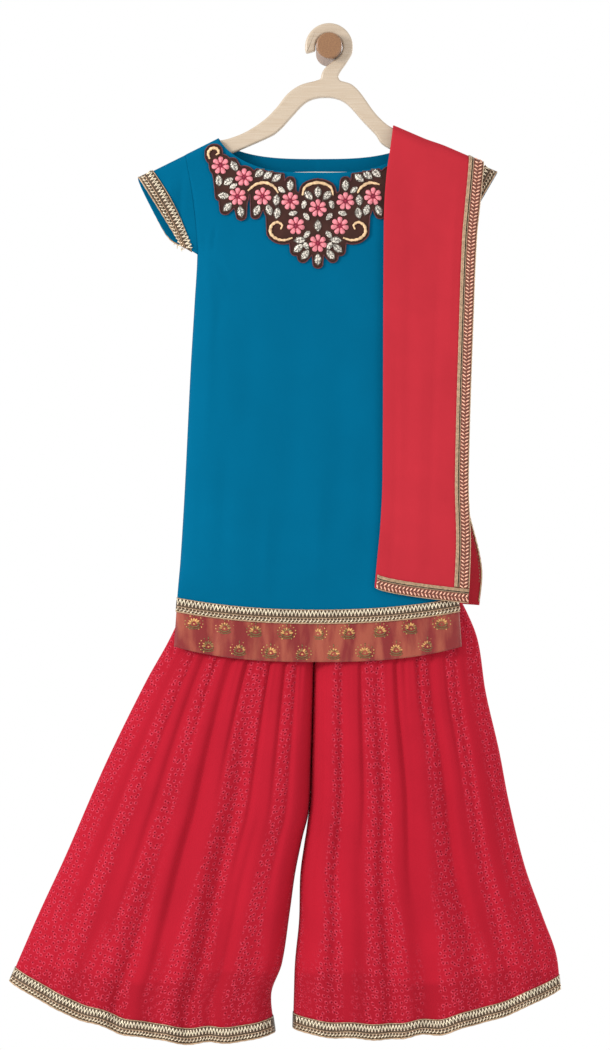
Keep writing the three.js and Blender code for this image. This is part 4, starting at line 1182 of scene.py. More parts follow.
def laced(name, node_name, surface, alongs, ring=False, kind="teeth"):
    """A lace: its woven ground, threads, beads and the cords along its edges."""
    pitch = garment().lace.pitch / MM
    acrosses = np.linspace(0, 1, 5)
    ground = surface(alongs[None, :], acrosses[:, None], GROUND_SEAT)
    # Which way the net faces is tried a quarter of the way along, where no tube turns
    i = len(alongs) // 4
    outwards = surface(alongs[i:i + 1], 0.5, 1.0) - surface(alongs[i:i + 1], 0.5, 0.0)
    facing = np.cross(ground[1, i] - ground[0, i], ground[0, i + 1] - ground[0, i])
    flip = bool(np.dot(facing, outwards[0]) < 0)
    base = walled(f"{name}_ground", ground, LACE_WALL * MM, ring, flip)
    ground_of, threads_of = LACE_MATERIALS[kind]
    dressed(base, MATERIALS[ground_of], "gold_lace", node_name)
    count = max(int(round(lace_length(surface) / pitch)), 2)
    places = (np.arange(count) + 0.5) / count
    frames = lace_frames(surface, places, 0.4 / count, kind == "teeth", ring)
    motifs = lace_templates(kind)
    for part, motif, material in zip(("threads", "beads"), motifs, (threads_of, "rose_beads")):
        laid = scattered(f"{name}_{part}", frames, motif, MATERIALS[material])
        dressed(laid, MATERIALS[material], "gold_lace")
    dropped(*motifs)
    path_alongs = np.linspace(0.002, 0.998, int(lace_length(surface) / CORD_STEP))
    for part, rows, material in LACE_CORDS[kind]:
        cords = [
            tube(surface(path_alongs, place, THREAD_SEAT), radius, CORD_SIDES, CORD_TWIST)
            for place, radius in rows
        ]
        edging = new_object(f"{name}_{part}", merged(f"{name}_{part}", cords))
        dressed(edging, MATERIALS[material], "gold_lace")


# Operators, one for each piece or group of like pieces

class GARMENT_OT_kurta(bpy.types.Operator):
    """Makes the front and back of the kurta"""

    bl_idname = "garment.kurta"
    bl_label = "Kurta"

    def execute(self, context):
        columns = np.concatenate([
            np.linspace(-SHOULDER_HALF, -NECK_HALF, 16)[:-1],
            np.linspace(-NECK_HALF, NECK_HALF, 91),
            np.linspace(NECK_HALF, SHOULDER_HALF, 16)[1:],
        ])
        for side, face in (("front", -1), ("back", 1)):
            points = kurta_panel(face, columns)
            name = f"kurta_{side}_crepe"
            panel = walled(name, points, garment().kurta.wall, flip=face > 0)
            dressed(panel, MATERIALS["teal_crepe"], "blue_crepe", f"kurta_{side}")
            pieces = [self.facing()] if face < 0 else []
        return {"FINISHED"}

    def facing(self):
        """The pale facing that shows as a thin line just inside the front neckline."""
        x = np.linspace(*FACING_ENDS, FACING_POINTS)
        lift = FACING_LIFT * np.sin(np.pi * np.linspace(0, 1, FACING_POINTS)) ** 0.5
        top = neckline(-1, x) - FACING_DROP + lift
        heights = top[None, :] - np.array(FACING_ROWS)[:, None]
        points = panel_point(-1, np.broadcast_to(x, heights.shape), heights, -CLOTH - FACING_WALL)
        tape = walled("neck_facing", points, FACING_WALL * MM)
        return dressed(tape, MATERIALS["pale_facing"], "blue_crepe")


def kurta_panel(face, columns):
    top = panel_top(face, columns, 0)
    foot = hem_top(columns / SHOULDER_HALF) - UNDER_LACE
    ridge_rows = np.array([0, 0.15, 0.5, 1.1, 2, 3.2, 5, 7.5, 11])
    shares = np.linspace(0, 1, 110)[1:]
    rows = [top - drop for drop in ridge_rows]
    rows += [mix(top - ridge_rows[-1], foot, share) for share in shares]
    heights = np.array(rows)
    return panel_point(face, np.broadcast_to(columns, heights.shape), heights, 0)


class GARMENT_OT_sleeves(bpy.types.Operator):
    """Makes both cap sleeves and their lace"""

    bl_idname = "garment.sleeves"
    bl_label = "Cap sleeves"

    def execute(self, context):
        rounds = np.linspace(0, 2, 121)[:-1]
        for side, sign in (("left", -1), ("right", 1)):
            alongs = np.linspace(0, 1, 30)
            points = sleeve_point(sign, alongs[:, None], rounds[None, :], 0)
            cap = walled(f"sleeve_{side}_crepe", points, garment().kurta.wall, True, sign > 0)
            dressed(cap, MATERIALS["teal_crepe"], "blue_crepe", f"sleeve_{side}")

            def trim(along, across, out, sign=sign):
                turn = along * 2 % 2
                down = np.where(turn <= 1, turn, 2 - turn)
                start = mix(SLEEVE_TRIM_TOP, SLEEVE_TRIM_FOOT, down)
                return sleeve_point(sign, mix(start, 1, across), turn, out + SLEEVE_LACE_SEAT)

            laced(f"sleeve_{side}_lace", f"sleeve_lace_{side}", trim, rounds / 2,
                  ring=True)
        return {"FINISHED"}


def sleeve_point(sign, along, round_, out):
    """A point on a cap sleeve, from the armhole to the hem, 0 to 1 in front and 1 to 2 behind."""
    down = np.where(round_ <= 1, round_, 2 - round_)
    face = np.where(round_ <= 1, -1, 1)
    top = shoulder_line(sign * SHOULDER_HALF)
    armhole_z = mix(top + out, UNDERARM_Z - out, down)
    armhole_x = body_half(mix(top, UNDERARM_Z, down)) - SEAM
    tip = SHOULDER_HALF + SLEEVE_TIP_OUT
    bow = SLEEVE_BOW[sign] * down ** SLEEVE_POWER * (1 - down ** SLEEVE_BOW_END)
    hem_x = mix(tip, SLEEVE_HEM_X, down) + np.where(round_ <= 1, 0, bow)
    hem_z = mix(shoulder_line(sign * tip) + out, SLEEVE_HEM_Z - out, down)
    drop = top + out - armhole_z
    armhole_y = (hang_depth(drop, armhole_z) + out) * ridge(drop) * side_opening(armhole_z)
    mouth_y = (SLEEVE_MOUTH + out) * np.clip(np.sin(np.pi * down), 0, 1) ** SLEEVE_POWER
    x = mix(armhole_x, hem_x, along)
    z = mix(armhole_z, hem_z, along)
    dip = creased(SLEEVE_CREASES, x, z, garment().kurta.crease) * np.sin(np.pi * down)
    y = HANG_Y + face * (SEAM / 2 + mix(armhole_y, mouth_y, along) + dip)
    return stacked(MIDDLE + sign * x, y, z)


# Creases of a cap sleeve that pull down from the shoulder's end, from its own middle line
SLEEVE_CREASES = [
    (168, -150, 174, -232, 4, -1.2), (182, -150, 186, -222, 5, 1.0), (196, -160, 192, -214, 4, -0.9),
]


class GARMENT_OT_hem(bpy.types.Operator):
    """Makes the brocade band, its woven motifs and the lace over its joint"""

    bl_idname = "garment.hem"
    bl_label = "Kurta hem"

    def execute(self, context):
        shares = np.linspace(-1, 1, 161)
        bodies, stems = buti_templates(garment().kurta.buti / MM)
        for side, face in (("front", -1), ("back", 1)):
            rows = np.linspace(0, 1, 18)[:, None]
            top = hem_top(shares) - UNDER_LACE - SEAM
            heights = mix(top[None, :], band_bottom(shares)[None, :], rows)
            points = kurta_point(face, np.broadcast_to(shares, heights.shape), heights, 0)
            band = walled(f"hem_band_{side}_silk", points, garment().kurta.wall, flip=face > 0)
            dressed(band, MATERIALS["shot_silk"], "brocade", f"hem_band_{side}")
            for part, motif, material in (
                ("butis", bodies, "gold_weft_glints"), ("stems", stems, "olive_thread"),
            ):
                laid = scattered(f"hem_band_{side}_{part}", buti_spots(face), motif, MATERIALS[material])
                dressed(laid, MATERIALS[material], "brocade")

            def edge(along, across, out, face=face):
                share = mix(-1, 1, along)
                return kurta_point(face, share, hem_top(share) - across * LACE_WIDTH, SEAM + out)

            laced(f"hem_lace_{side}", f"hem_lace_{side}", edge, (shares + 1) / 2)
        dropped(bodies, stems)
        return {"FINISHED"}


def buti_templates(height):
    """A woven sprig: a fan of flame leaves over a crescent, ringed with dots, a stem on top.
    Its numbers are millimetres on a sprig 15 mm high, and h is how much larger it is."""
    h = height / 15
    leaves = []
    for degrees in range(-84, 85, 28):
        angle = math.radians(degrees)
        inner = (2.0 * h * math.sin(angle), -1.6 * h + 2.0 * h * math.cos(angle))
        tip = (7.2 * h * math.sin(angle), -1.6 * h + 6.6 * h * math.cos(angle))
        leaves.append(lens(inner, tip, 1.2 * h, 0.5, -0.3, sides=8))
    leaves.append(dome((0, -1.9 * h), (1.5 * h, 1.2 * h), 0.5, sides=8, rings=2, foot=-0.3))
    for degrees in range(-150, 151, 25):
        angle = math.radians(degrees)
        middle = (9.4 * h * math.sin(angle), -0.6 * h + 7.6 * h * math.cos(angle))
        leaves.append(dome(middle, 0.9 * h, 0.4, sides=6, rings=2, foot=-0.3))
    arcs = []
    for reach, thick, spread in ((4.6, 0.9, 70), (6.9, 0.7, 52)):
        angles = [math.radians(degrees) for degrees in range(-spread, spread + 1, 20)]
        arc = [
            (1.25 * reach * h * math.sin(a), -h - 0.85 * reach * h * math.cos(a), 0.05)
            for a in angles
        ]
        arcs.append(tube(arc, thick, 5))
    stem = tube([(0, 5.4 * h, 0.05), (0, 8.6 * h, 0.05)], 0.5, 5)
    return template("buti_leaves", leaves), template("buti_stems", [*arcs, stem])


def buti_spots(face):
    """Two rows of motifs across the band, the lower one half a step along."""
    pitch = garment().kurta.buti_pitch / MM
    spots = []
    for row, drop in enumerate(BUTI_DROPS):
        for step in range(-5, 6):
            share = (step + 0.5 * row) * pitch / float(body_half(BUTI_LEVEL))
            if abs(share) < BUTIS_UNTIL:
                z = float(hem_top(share)) - drop + 2.0 * abs(share)
                spots.append(surface_spot(face, share, z, 0.05))
    return spots


def surface_spot(face, share, z, out):
    """A place on the kurta with its right and its up, as seen from outside."""
    here = kurta_point(face, share, z, out)
    right = kurta_point(face, share + 0.02, z, out) - here
    up = kurta_point(face, share, z + 4, out) - here
    return here, right * -face, up


class GARMENT_OT_yoke(bpy.types.Operator):
    """Makes the velvet yoke with its raised flowers, leaves and cords"""

    bl_idname = "garment.yoke"
    bl_label = "Yoke"

    def execute(self, context):
        g = garment().yoke
        reach = yoke_discs()[:, 0].max() + g.cord / MM + VELVET_MARGIN - EDGE_INSET
        columns = np.linspace(-reach, reach, 241)
        top, bottom = yoke_edges(columns)
        heights = mix(top[None, :], bottom[None, :], np.linspace(0, 1, 30)[:, None])
        share = columns[None, :] / body_half(heights)
        points = kurta_point(-1, share, heights, YOKE_SEAT + CLOTH)
        velvet = walled("yoke_velvet", points, YOKE_WALL * MM)
        dressed(velvet, MATERIALS["brown_velvet"], "brown_velvet", "neck_patch")
        pieces = [self.border(points), self.cords(g.cord / MM)]
        flowers = [yoke_spot(x, z, FLOWER_TURN) for x, z in both_sides(FLOWERS)]
        leaves, fillers = (
            [yoke_spot(x, z, math.radians(way - 90)) for x, z, way in both_sides(rows)]
            for rows in (LEAVES, FILLERS)
        )
        motifs = (
            ("yoke_petals", flowers, petal_pieces(g.flower / MM), "pink_thread"),
            ("yoke_hearts", flowers, heart_pieces(g.flower / MM), "crimson_thread"),
            ("yoke_leaves", leaves, leaf_pieces(g.leaf / MM), "silver_thread"),
            ("yoke_veins", leaves, vein_pieces(g.leaf / MM), "vein_thread"),
            ("yoke_fillers", fillers, leaf_pieces(g.leaf / MM * FILLER_SIZE), "silver_thread"),
        )
        for name, spots, drawn, material in motifs:
            motif = template(f"{name}_motif", drawn)
            laid = scattered(name, spots, motif, MATERIALS[material])
            pieces.append(dressed(laid, MATERIALS[material], "brown_velvet"))
            dropped(motif)
        # The velvet lies nearly flat, so its cut is as wide and as high as it is
        return {"FINISHED"}

    def border(self, points):
        """A corded edge sewn all round the velvet."""
        around = np.concatenate([
            points[0], points[1:, -1], points[-1, ::-1][1:], points[::-1, 0][1:],
        ])
        edge = resampled(around + np.array((0, -0.2, 0)), BORDER_STEP)
        cord = tube(edge, BORDER_RADIUS, CORD_SIDES, CORD_TWIST)
        thing = new_object("yoke_border", merged("yoke_border", [cord]))
        return dressed(thing, MATERIALS["maroon_border"], "brown_velvet")

    def cords(self, radius):
        """The couched cords, thickest in their middle, on both sides where they show."""
        tubes = []
        mirrored = [[(-x, z) for x, z in places] for places in CORDS]
        shown = [[(x, z) for x, z in places if x <= COVERED_FROM] for places in CORDS]
        for places in [ARCHED_CORD, *mirrored, *shown]:
            if len(places) < 3:
                continue
            x, z = curve_through(places, 10).T
            line = kurta_point(-1, x / body_half(z), z, YOKE_SEAT + CLOTH + CORD_SEAT)
            taper = np.sin(np.pi * np.linspace(*CORD_TAPER, len(line))) ** 0.8
            tubes.append(tube(line, radius * taper, COUCHED_SIDES, COUCHED_TWIST))
        thing = new_object("yoke_cords", merged("yoke_cords", tubes))
        return dressed(thing, MATERIALS["cream_cord"], "brown_velvet")


def both_sides(rows):
    """The yoke's motifs on both sides, without those that the dupatta covers."""
    placed = []
    for x, z, *way in rows:
        if x <= COVERED_FROM:
            placed.append((x, z, *way))
        if x > 0:
            placed.append((-x, z, *[180 - degrees for degrees in way]))
    return placed


def curve_through(places, per_span):
    """A smooth line through points."""
    p = np.array(places, float)
    p = np.vstack([2 * p[0] - p[1], p, 2 * p[-1] - p[-2]])
    t = np.linspace(0, 1, per_span, endpoint=False)[:, None]
    spans = [
        b + ((c - a) * t + (2 * a - 5 * b + 4 * c - d) * t ** 2 + (3 * b - a - 3 * c + d) * t ** 3) / 2
        for a, b, c, d in zip(p, p[1:], p[2:], p[3:])
    ]
    return np.vstack([*spans, p[-2:-1]])


def yoke_discs():
    """Discs of velvet round each motif: where they reach, the yoke's scalloped edge runs."""
    g = garment().yoke
    discs = [(x, z, g.flower / MM + VELVET_MARGIN) for x, z in FLOWERS]
    for x, z, way in LEAVES:
        for reach in (-LEAF_ENDS, 0.0, LEAF_ENDS):
            turn = math.radians(way)
            place = (x + reach * math.cos(turn), z + reach * math.sin(turn))
            discs.append((*place, g.leaf / MM - LEAF_ENDS + VELVET_MARGIN))
    for places in (ARCHED_CORD, *CORDS):
        discs.extend((x, z, g.cord / MM + VELVET_MARGIN) for x, z in curve_through(places, 4))
    return np.array(discs)


def yoke_edges(x):
    """Top and bottom edge of the velvet at each distance from the middle."""
    discs = yoke_discs()
    at, middle, radius = np.concatenate([discs, discs * (-1, 1, 1)]).T
    half = radius ** 2 - (np.asarray(x)[:, None] - at) ** 2
    reach = np.sqrt(np.maximum(half, 0))
    top = np.where(half > 0, middle + reach, -np.inf).max(axis=1)
    bottom = np.where(half > 0, middle - reach, np.inf).min(axis=1)
    return np.minimum(top, neckline(-1, x) - UNDER_NECKLINE), bottom


def resampled(path, step):
    lengths = np.concatenate([[0], np.cumsum(np.linalg.norm(np.diff(path, axis=0), axis=1))])
    places = np.linspace(0, lengths[-1], max(int(lengths[-1] / step), 4))
    return np.stack([np.interp(places, lengths, path[:, k]) for k in range(3)], axis=1)


def yoke_spot(x, z, turn):
    """A place on the velvet for a motif, turned in its own plane."""
    share = x / float(body_half(z))
    here = kurta_point(-1, share, z, YOKE_SEAT + CLOTH)
    right = kurta_point(-1, (x + 4) / float(body_half(z)), z, YOKE_SEAT + CLOTH) - here
    up = kurta_point(-1, x / float(body_half(z + 4)), z + 4, YOKE_SEAT + CLOTH) - here
    c, s = math.cos(turn), math.sin(turn)
    return here, right * c + up * s, up * c - right * s


def petal_pieces(radius):
    """Padded petals, rounded at the tip, that nearly touch. Their sizes are shares of the radius."""
    angles = 2 * np.pi * np.arange(14) / 14
    pieces = []
    for k in range(PETALS):
        turn = 2 * math.pi * (k + 0.5) / PETALS
        along = (0.62 + 0.4 * np.cos(angles)) * radius
        across = 0.345 * np.sin(angles) * (0.78 + 0.34 * np.cos(angles)) * radius
        x = along * math.cos(turn) - across * math.sin(turn)
        y = along * math.sin(turn) + across * math.cos(turn)
        pieces.append(padded(np.stack([x, y], axis=1), 2.1))
    return pieces


def heart_pieces(radius):
    """A low round ground between the petals, a ring of knots and one knot in the middle."""
    pieces = [
        dome((0, 0), 0.8 * radius, 0.7, sides=3 * PETALS, rings=2, foot=-0.4),
        dome((0, 0), 0.15 * radius, 2.4, foot=-0.3),
    ]
    for k in range(PETALS):
        angle = 2 * math.pi * k / PETALS
        middle = (0.25 * radius * math.cos(angle), 0.25 * radius * math.sin(angle))
        pieces.append(dome(middle, 0.09 * radius, 1.8, sides=6, foot=-0.3))
    return pieces


def leaf_pieces(half):
    """A pointed leaf filled with silver stitches, slanted from its midrib. half is half its length."""
    wide = half * 0.54
    pieces = [lens((0, -half), (0, half), wide, 1.3, sides=14)]
    for t in (0.2, 0.36, 0.52, 0.68):
        for side in (-1, 1):
            reach = wide * math.sin(math.pi * t) * 0.92
            foot = half * (2 * t - 1)
            pieces.append(tube([(0, foot - 1.2, 1.2), (side * reach, foot + 1.0, 0.7)], 0.62, 5))
    return pieces


def vein_pieces(half):
    """The dark outline and midrib of a leaf."""
    wide = half * 0.58
    ts = np.linspace(0, 1, 11)
    around = [(wide * math.sin(math.pi * t) ** 1.2, half * 1.04 * (2 * t - 1), 0.3) for t in ts]
    around += [(-x, y, z) for x, y, z in around[-2:0:-1]]
    around.append(around[0])
    return [tube(around, 0.5, 5), tube([(0, -half * 1.15, 0.6), (0, half * 0.7, 1.5)], 0.42, 5)]


class GARMENT_OT_sharara(bpy.types.Operator):
    """Makes the waistband, both flared legs and the lace round their hems"""

    bl_idname = "garment.sharara"
    bl_label = "Sharara"

    def execute(self, context):
        self.waistband()
        for side in ("left", "right"):
            self.leg(side)
        return {"FINISHED"}

    def waistband(self):
        """The gathered band inside the kurta that carries both legs."""
        rounds = np.linspace(0, 2, 241)[:-1]
        front = rounds <= 1
        across = np.where(front, mix(-1, 1, rounds), mix(1, -1, rounds - 1))
        z = np.linspace(WAIST_TOP, WAIST_TOP - WAIST_HEIGHT, 9)[:, None]
        gathers = np.abs(np.sin(np.pi * WAIST_GATHERS * across)) - 1
        depth = body_depth(z) - CLOTH - SEAM + WAIST_GATHER_DEPTH * gathers[None, :]
        section = rounded(across)[None, :]
        y = HANG_Y + np.where(front, -1, 1)[None, :] * depth * section
        points = stacked(MIDDLE + across[None, :] * WAIST_HALF, y, z)
        band = walled("waistband_cotton", points, garment().sharara.wall, ring=True)
        dressed(band, MATERIALS["plain_cotton"], "red_cotton", "waistband")

    def leg(self, side):
        """One flared leg, with its embroidery as values on its points, and its hem's lace."""
        leg = LEGS[side]
        lace_top = 1 - LACE_WIDTH / (LEG_TOP - leg["hem_outer"])
        downs = np.concatenate([np.linspace(0, 0.4, 60)[:-1], np.linspace(0.4, 1, 66)])
        count = 151
        even = np.linspace(0, 1, count)
        half = mix(even, (1 - np.cos(np.pi * even)) / 2, CROWDING)
        across = np.concatenate([half, half[-2:0:-1]])
        faces = np.concatenate([np.full(count, -1), np.full(count - 2, 1)])
        points = leg_point(leg, downs[:, None], across[None, :], faces[None, :], 0)
        name = f"leg_{side}_cotton"
        cloth = walled(name, points, garment().sharara.wall, ring=True, flip=leg["sign"] < 0)
        paint_embroidery(cloth.data, leg)
        dressed(cloth, MATERIALS["eyelet_cotton"], "red_cotton", f"leg_{side}")

        def hem(along, down, out):
            turn = along * 2 % 2
            near = np.where(turn <= 1, turn, 2 - turn)
            face = np.where(turn <= 1, -1, 1)
            return leg_point(leg, mix(lace_top, 1, down), near, face, SEAM + out)

        alongs = np.concatenate([half / 2, 1 - half[-2:0:-1] / 2])
        laced(f"leg_{side}_lace", f"leg_lace_{side}", hem, alongs, ring=True)


def paint_embroidery(mesh, leg):
    """Two values for the cotton at each point: how much of it is embroidered, in upright bands
    that widen towards the hem, and how far it hangs below the lining's edge, which sets the
    painted shade there."""
    points = np.zeros(len(mesh.vertices) * 3, np.float32)
    mesh.vertices.foreach_get("co", points)
    x, _, z = points.reshape(-1, 3).T / MM
    inner, outer = reading(leg["inner"]), reading(leg["outer"])
    across = np.clip((x - inner(z)) / (outer(z) - inner(z)), 0, 1)
    down = np.clip((LEG_TOP - z) / (LEG_TOP - BANDS_FOOT), 0, 1)
    wave = OUTER_BONUS * smooth((across - OUTER_FROM) / 0.3)
    for kind, (count, start, weight) in BANDS.items():
        drift = BAND_DRIFT * np.sin(7 * across) if kind == "broad" else 0.0
        wave = wave + weight * np.cos(2 * np.pi * (across * count + drift + start))
    low = smooth((down - LOW_FROM) / 0.3)
    embroidered = smooth((wave + LOW_BONUS * low) / 0.5)
    # Painted shade below the lining's edge, where the single cloth shows the leg's shaded inside
    unlined = smooth((LINING_EDGE - z + 8 * np.sin(3 * np.pi * across)) / 3)
    for name, values in (("bands", embroidered), ("unlined", unlined)):
        layer = mesh.attributes.new(name, "FLOAT", "POINT")
        layer.data.foreach_set("value", values.astype(np.float32))


# Creases of a leg: share across at the top and at the hem, from and to down, width and height,
# a trough if the height is negative
LEG_CREASES = {
    ("left", -1): [
        (0.74, 0.70, 0.16, 0.95, 0.022, -5.5), (0.57, 0.51, 0.18, 0.95, 0.022, -5.0),
        (0.36, 0.34, 0.3, 1.1, 0.034, -6.0), (0.45, 0.44, 0.08, 0.55, 0.013, -3.5),
        (0.2, 0.17, 0.08, 0.6, 0.013, -3.5), (0.3, 0.27, 0.06, 0.7, 0.014, -4.0),
        (0.88, 0.86, 0.2, 1.1, 0.022, -4.0), (0.12, 0.1, 0.1, 0.75, 0.014, -3.0),
        (0.65, 0.62, 0.1, 0.5, 0.012, -3.0), (0.80, 0.78, 0.1, 0.55, 0.012, -2.5),
        (0.22, 0.24, 0.55, 1.1, 0.018, -3.0), (0.62, 0.61, 0.6, 1.2, 0.018, -3.5),
    ],
    ("left", 1): [
        (0.16, 0.17, 0.1, 1.0, 0.022, -4.5), (0.33, 0.32, 0.15, 1.1, 0.026, -5.0),
        (0.5, 0.48, 0.08, 0.8, 0.02, -4.5), (0.65, 0.63, 0.2, 1.1, 0.024, -5.0),
        (0.8, 0.77, 0.1, 0.9, 0.02, -4.0), (0.42, 0.4, 0.06, 0.5, 0.012, -3.0),
        (0.25, 0.24, 0.06, 0.5, 0.012, -3.0), (0.9, 0.9, 0.2, 1.1, 0.018, -3.0),
    ],
    ("right", -1): [
        (0.38, 0.37, 0.2, 1.1, 0.03, -5.5), (0.68, 0.71, 0.1, 1.1, 0.026, -6.0),
        (0.48, 0.5, 0.08, 0.75, 0.014, -4.0), (0.17, 0.15, 0.1, 0.95, 0.02, -4.0),
        (0.28, 0.27, 0.06, 0.65, 0.013, -3.5), (0.85, 0.82, 0.2, 1.1, 0.018, -3.5),
        (0.78, 0.79, 0.08, 0.6, 0.012, -2.5), (0.05, 0.06, 0.1, 0.8, 0.012, -2.5),
        (0.6, 0.66, 0.06, 0.5, 0.012, -3.0), (0.93, 0.93, 0.4, 1.2, 0.014, -3.0),
    ],
    ("right", 1): [
        (0.15, 0.17, 0.1, 1.0, 0.022, -4.5), (0.32, 0.34, 0.15, 1.1, 0.024, -5.0),
        (0.48, 0.49, 0.08, 0.8, 0.02, -4.5), (0.63, 0.65, 0.2, 1.1, 0.024, -5.0),
        (0.78, 0.8, 0.1, 0.9, 0.02, -4.0), (0.4, 0.41, 0.06, 0.5, 0.012, -3.0),
        (0.24, 0.25, 0.06, 0.5, 0.012, -3.0),
    ],
}


def leg_point(leg, down, across, face, out):
    """A point on a leg. down runs from the waistband to the hem, across from the inner edge to
    the outer one. Above the split the two inner edges run along one line."""
    inner, outer = reading(leg["inner"]), reading(leg["outer"])
    inner_z = mix(LEG_TOP, leg["hem_inner"], down)
    outer_z = mix(LEG_TOP, leg["hem_outer"], down)
    closing = smooth((RISE_TOP - inner_z) / (RISE_TOP - CROTCH_Z))
    split = smooth((MEET_UNTIL - inner_z) / MEET_FADE)
    middle = (reading(LEGS["left"]["inner"])(inner_z) + reading(LEGS["right"]["inner"])(inner_z)) / 2
    inner_x = mix(middle, inner(inner_z), split) - leg["sign"] * out * closing * split
    outer_x = outer(outer_z) + leg["sign"] * out
    sag = leg["sag"] * down ** SAG_POWER * 4 * across * (1 - across)
    broad, fine = HEM_TURNS
    wave = np.sin(broad * across + 2 * face) + 0.7 * np.sin(fine * across + leg["sign"])
    sag = sag + HEM_WAVE * wave * down ** 6 * np.sin(np.pi * across)
    z = mix(inner_z, outer_z, across) - sag
    shut = 1 - closing * (1 - np.sqrt(np.clip(1 - (1 - across) ** INNER_SHUT, 0, 1)))
    section = rounded(across) * shut
    height = leg_folds(leg, face, across, down)
    y = HANG_Y + face * (leg_depth(z) + out + height) * section
    return stacked(mix(inner_x, outer_x, across), y, z)


def leg_folds(leg, face, across, down):
    """Height of a leg's folds: tight gathers under the waist, flutes below, creases between."""
    # A slow drift in place and in height, so that no two gathers are alike
    warped = across + 0.012 * np.sin(9 * across + 1) + 0.008 * np.sin(23 * across + face)
    uneven = 0.75 + 0.35 * np.sin(13 * across + 2 * face) * np.cos(31 * across)
    broad, fine = (np.abs(np.sin(np.pi * count * warped)) for count in GATHER_COUNTS)
    gathers = broad ** 0.7 + 0.5 * fine
    left_of_them = 1 - smooth((down - GATHERS_FROM) / GATHERS_OVER)
    height = GATHER_HEIGHT * uneven * left_of_them * (gathers - GATHER_MEAN)
    grown = smooth((down - 0.2) / 0.8)
    side = "left" if leg["sign"] < 0 else "right"
    for which in (-1, 1):
        raised = 0.0
        for top, hem, wide, high in leg[which]:
            off = (across - mix(top, hem, down)) / wide
            raised = raised + mix(1, high, grown) * np.exp(-off * off)
        for top, hem, start, end, wide, high in LEG_CREASES[side, which]:
            fade = np.sin(np.pi * np.clip((down - start) / (end - start), 0, 1)) ** 0.7
            off = (across - mix(top, hem, down)) / wide
            raised = raised + CREASE_SHARE * high * fade * np.exp(-off * off)
        height = height + np.where(face == which, raised, 0.0)
    return height


class GARMENT_OT_dupatta(bpy.types.Operator):
    """Makes both falls of the dupatta, their lace and the stitching along the free edge"""

    bl_idname = "garment.dupatta"
    bl_label = "Dupatta"

    def execute(self, context):
        for side in ("front", "back"):
            fall = FALLS[side]
            across = np.linspace(1.0, 0.02, 56)
            turning = np.linspace(0, math.pi, 9)[1:-1]
            spots = np.concatenate([across, FOLD_ROUND * (1 - np.sin(turning)), across[::-1]])
            levels = np.concatenate([
                np.full(len(across), DUPATTA_PILE), DUPATTA_PILE * (1 + np.cos(turning)) / 2,
                np.zeros(len(across)),
            ])
            points = fall_point(fall, fall_rows()[:, None], spots[None, :], levels[None, :])
            name = f"dupatta_{side}_crepe"
            wall = garment().dupatta.wall
            cloth = walled(name, points, wall, flip=fall["face"] < 0)
            dressed(cloth, MATERIALS["coral_crepe"], "coral_crepe", f"dupatta_{side}")
            pieces = [self.stitches(side, fall), self.edge_cord(side, fall)]
            self.lace(side, fall, name)
        return {"FINISHED"}

    def stitches(self, side, fall):
        """Gold running stitches that hold the lace, seen on the cloth's under side."""
        ends = [(0, -STITCH_HALF, 0), (0, STITCH_HALF, 0)]
        stitch = template("stitch", [tube(ends, STITCH_RADIUS, 4)])
        spots = []
        for down in np.arange(0.06, 0.94, STITCH_STEP):
            for share in STITCH_ROWS:
                here = fall_point(fall, down, share, STITCH_LEVEL)
                up = fall_point(fall, down - 0.004, share, STITCH_LEVEL) - here
                spots.append((here, np.array((1.0, 0, 0)), up))
        laid = scattered(f"dupatta_{side}_stitches", spots, stitch, MATERIALS["gold_cord"])
        dropped(stitch)
        return dressed(laid, MATERIALS["gold_cord"], "coral_crepe")

    def edge_cord(self, side, fall):
        """A pale cord round the free edge, where the lace is turned under the cloth."""
        path = fall_point(fall, np.linspace(0.08, 0.99, 300), 0.99, EDGE_CORD_LEVEL)
        name = f"dupatta_{side}_cord"
        cord = tube(path, EDGE_CORD_RADIUS, CORD_SIDES, CORD_TWIST)
        thing = new_object(name, merged(name, [cord]))
        return dressed(thing, MATERIALS["pale_cord"], "coral_crepe")

    def lace(self, side, fall, cloth):
        """The lace down the free edge and across the end."""
        level = DUPATTA_PILE + SEAM
        last = 1 - END_SHARE

        def long_edge(along, across, out):
            share = mix(DUPATTA_LACE_SHARE, 1, across)
            return fall_point(fall, mix(0, last, along), share, level + out)

        def end(along, across, out):
            return fall_point(fall, mix(last, 1, across), mix(0.015, 1, along), level + out)

        alongs = fall_rows()
        alongs = alongs[alongs <= last] / last
        laced(f"dupatta_side_lace_{side}", f"dupatta_side_lace_{side}", long_edge, alongs,
              kind="links")
        laced(f"dupatta_end_lace_{side}", f"dupatta_end_lace_{side}", end, np.linspace(0, 1, 28),
              kind="links")


def fall_rows():
    """Shares down a fall: close together over the shoulder, where the cloth turns."""
    over = np.linspace(0, 1, 16) ** 2 * 0.05
    return np.concatenate([over, np.linspace(0.06, 1 - END_SHARE, 96), [1 - END_SHARE / 2, 1]])


def fall_seat(x):
    return mix(DUPATTA_SEAM_SEAT, DUPATTA_SEAT, smooth((x - 131) / 30))


# Long soft creases of the falls: share across at the top and the foot, from and to down,
# width and height
FALL_CREASES = [
    (0.3, 0.26, 0.05, 0.9, 0.07, -0.7), (0.62, 0.55, 0.1, 1.0, 0.05, -0.6),
    (0.45, 0.42, 0.3, 1.1, 0.06, 0.5), (0.14, 0.16, 0.4, 1.1, 0.04, -0.5),
    (0.75, 0.72, 0.0, 0.5, 0.04, 0.5),
]


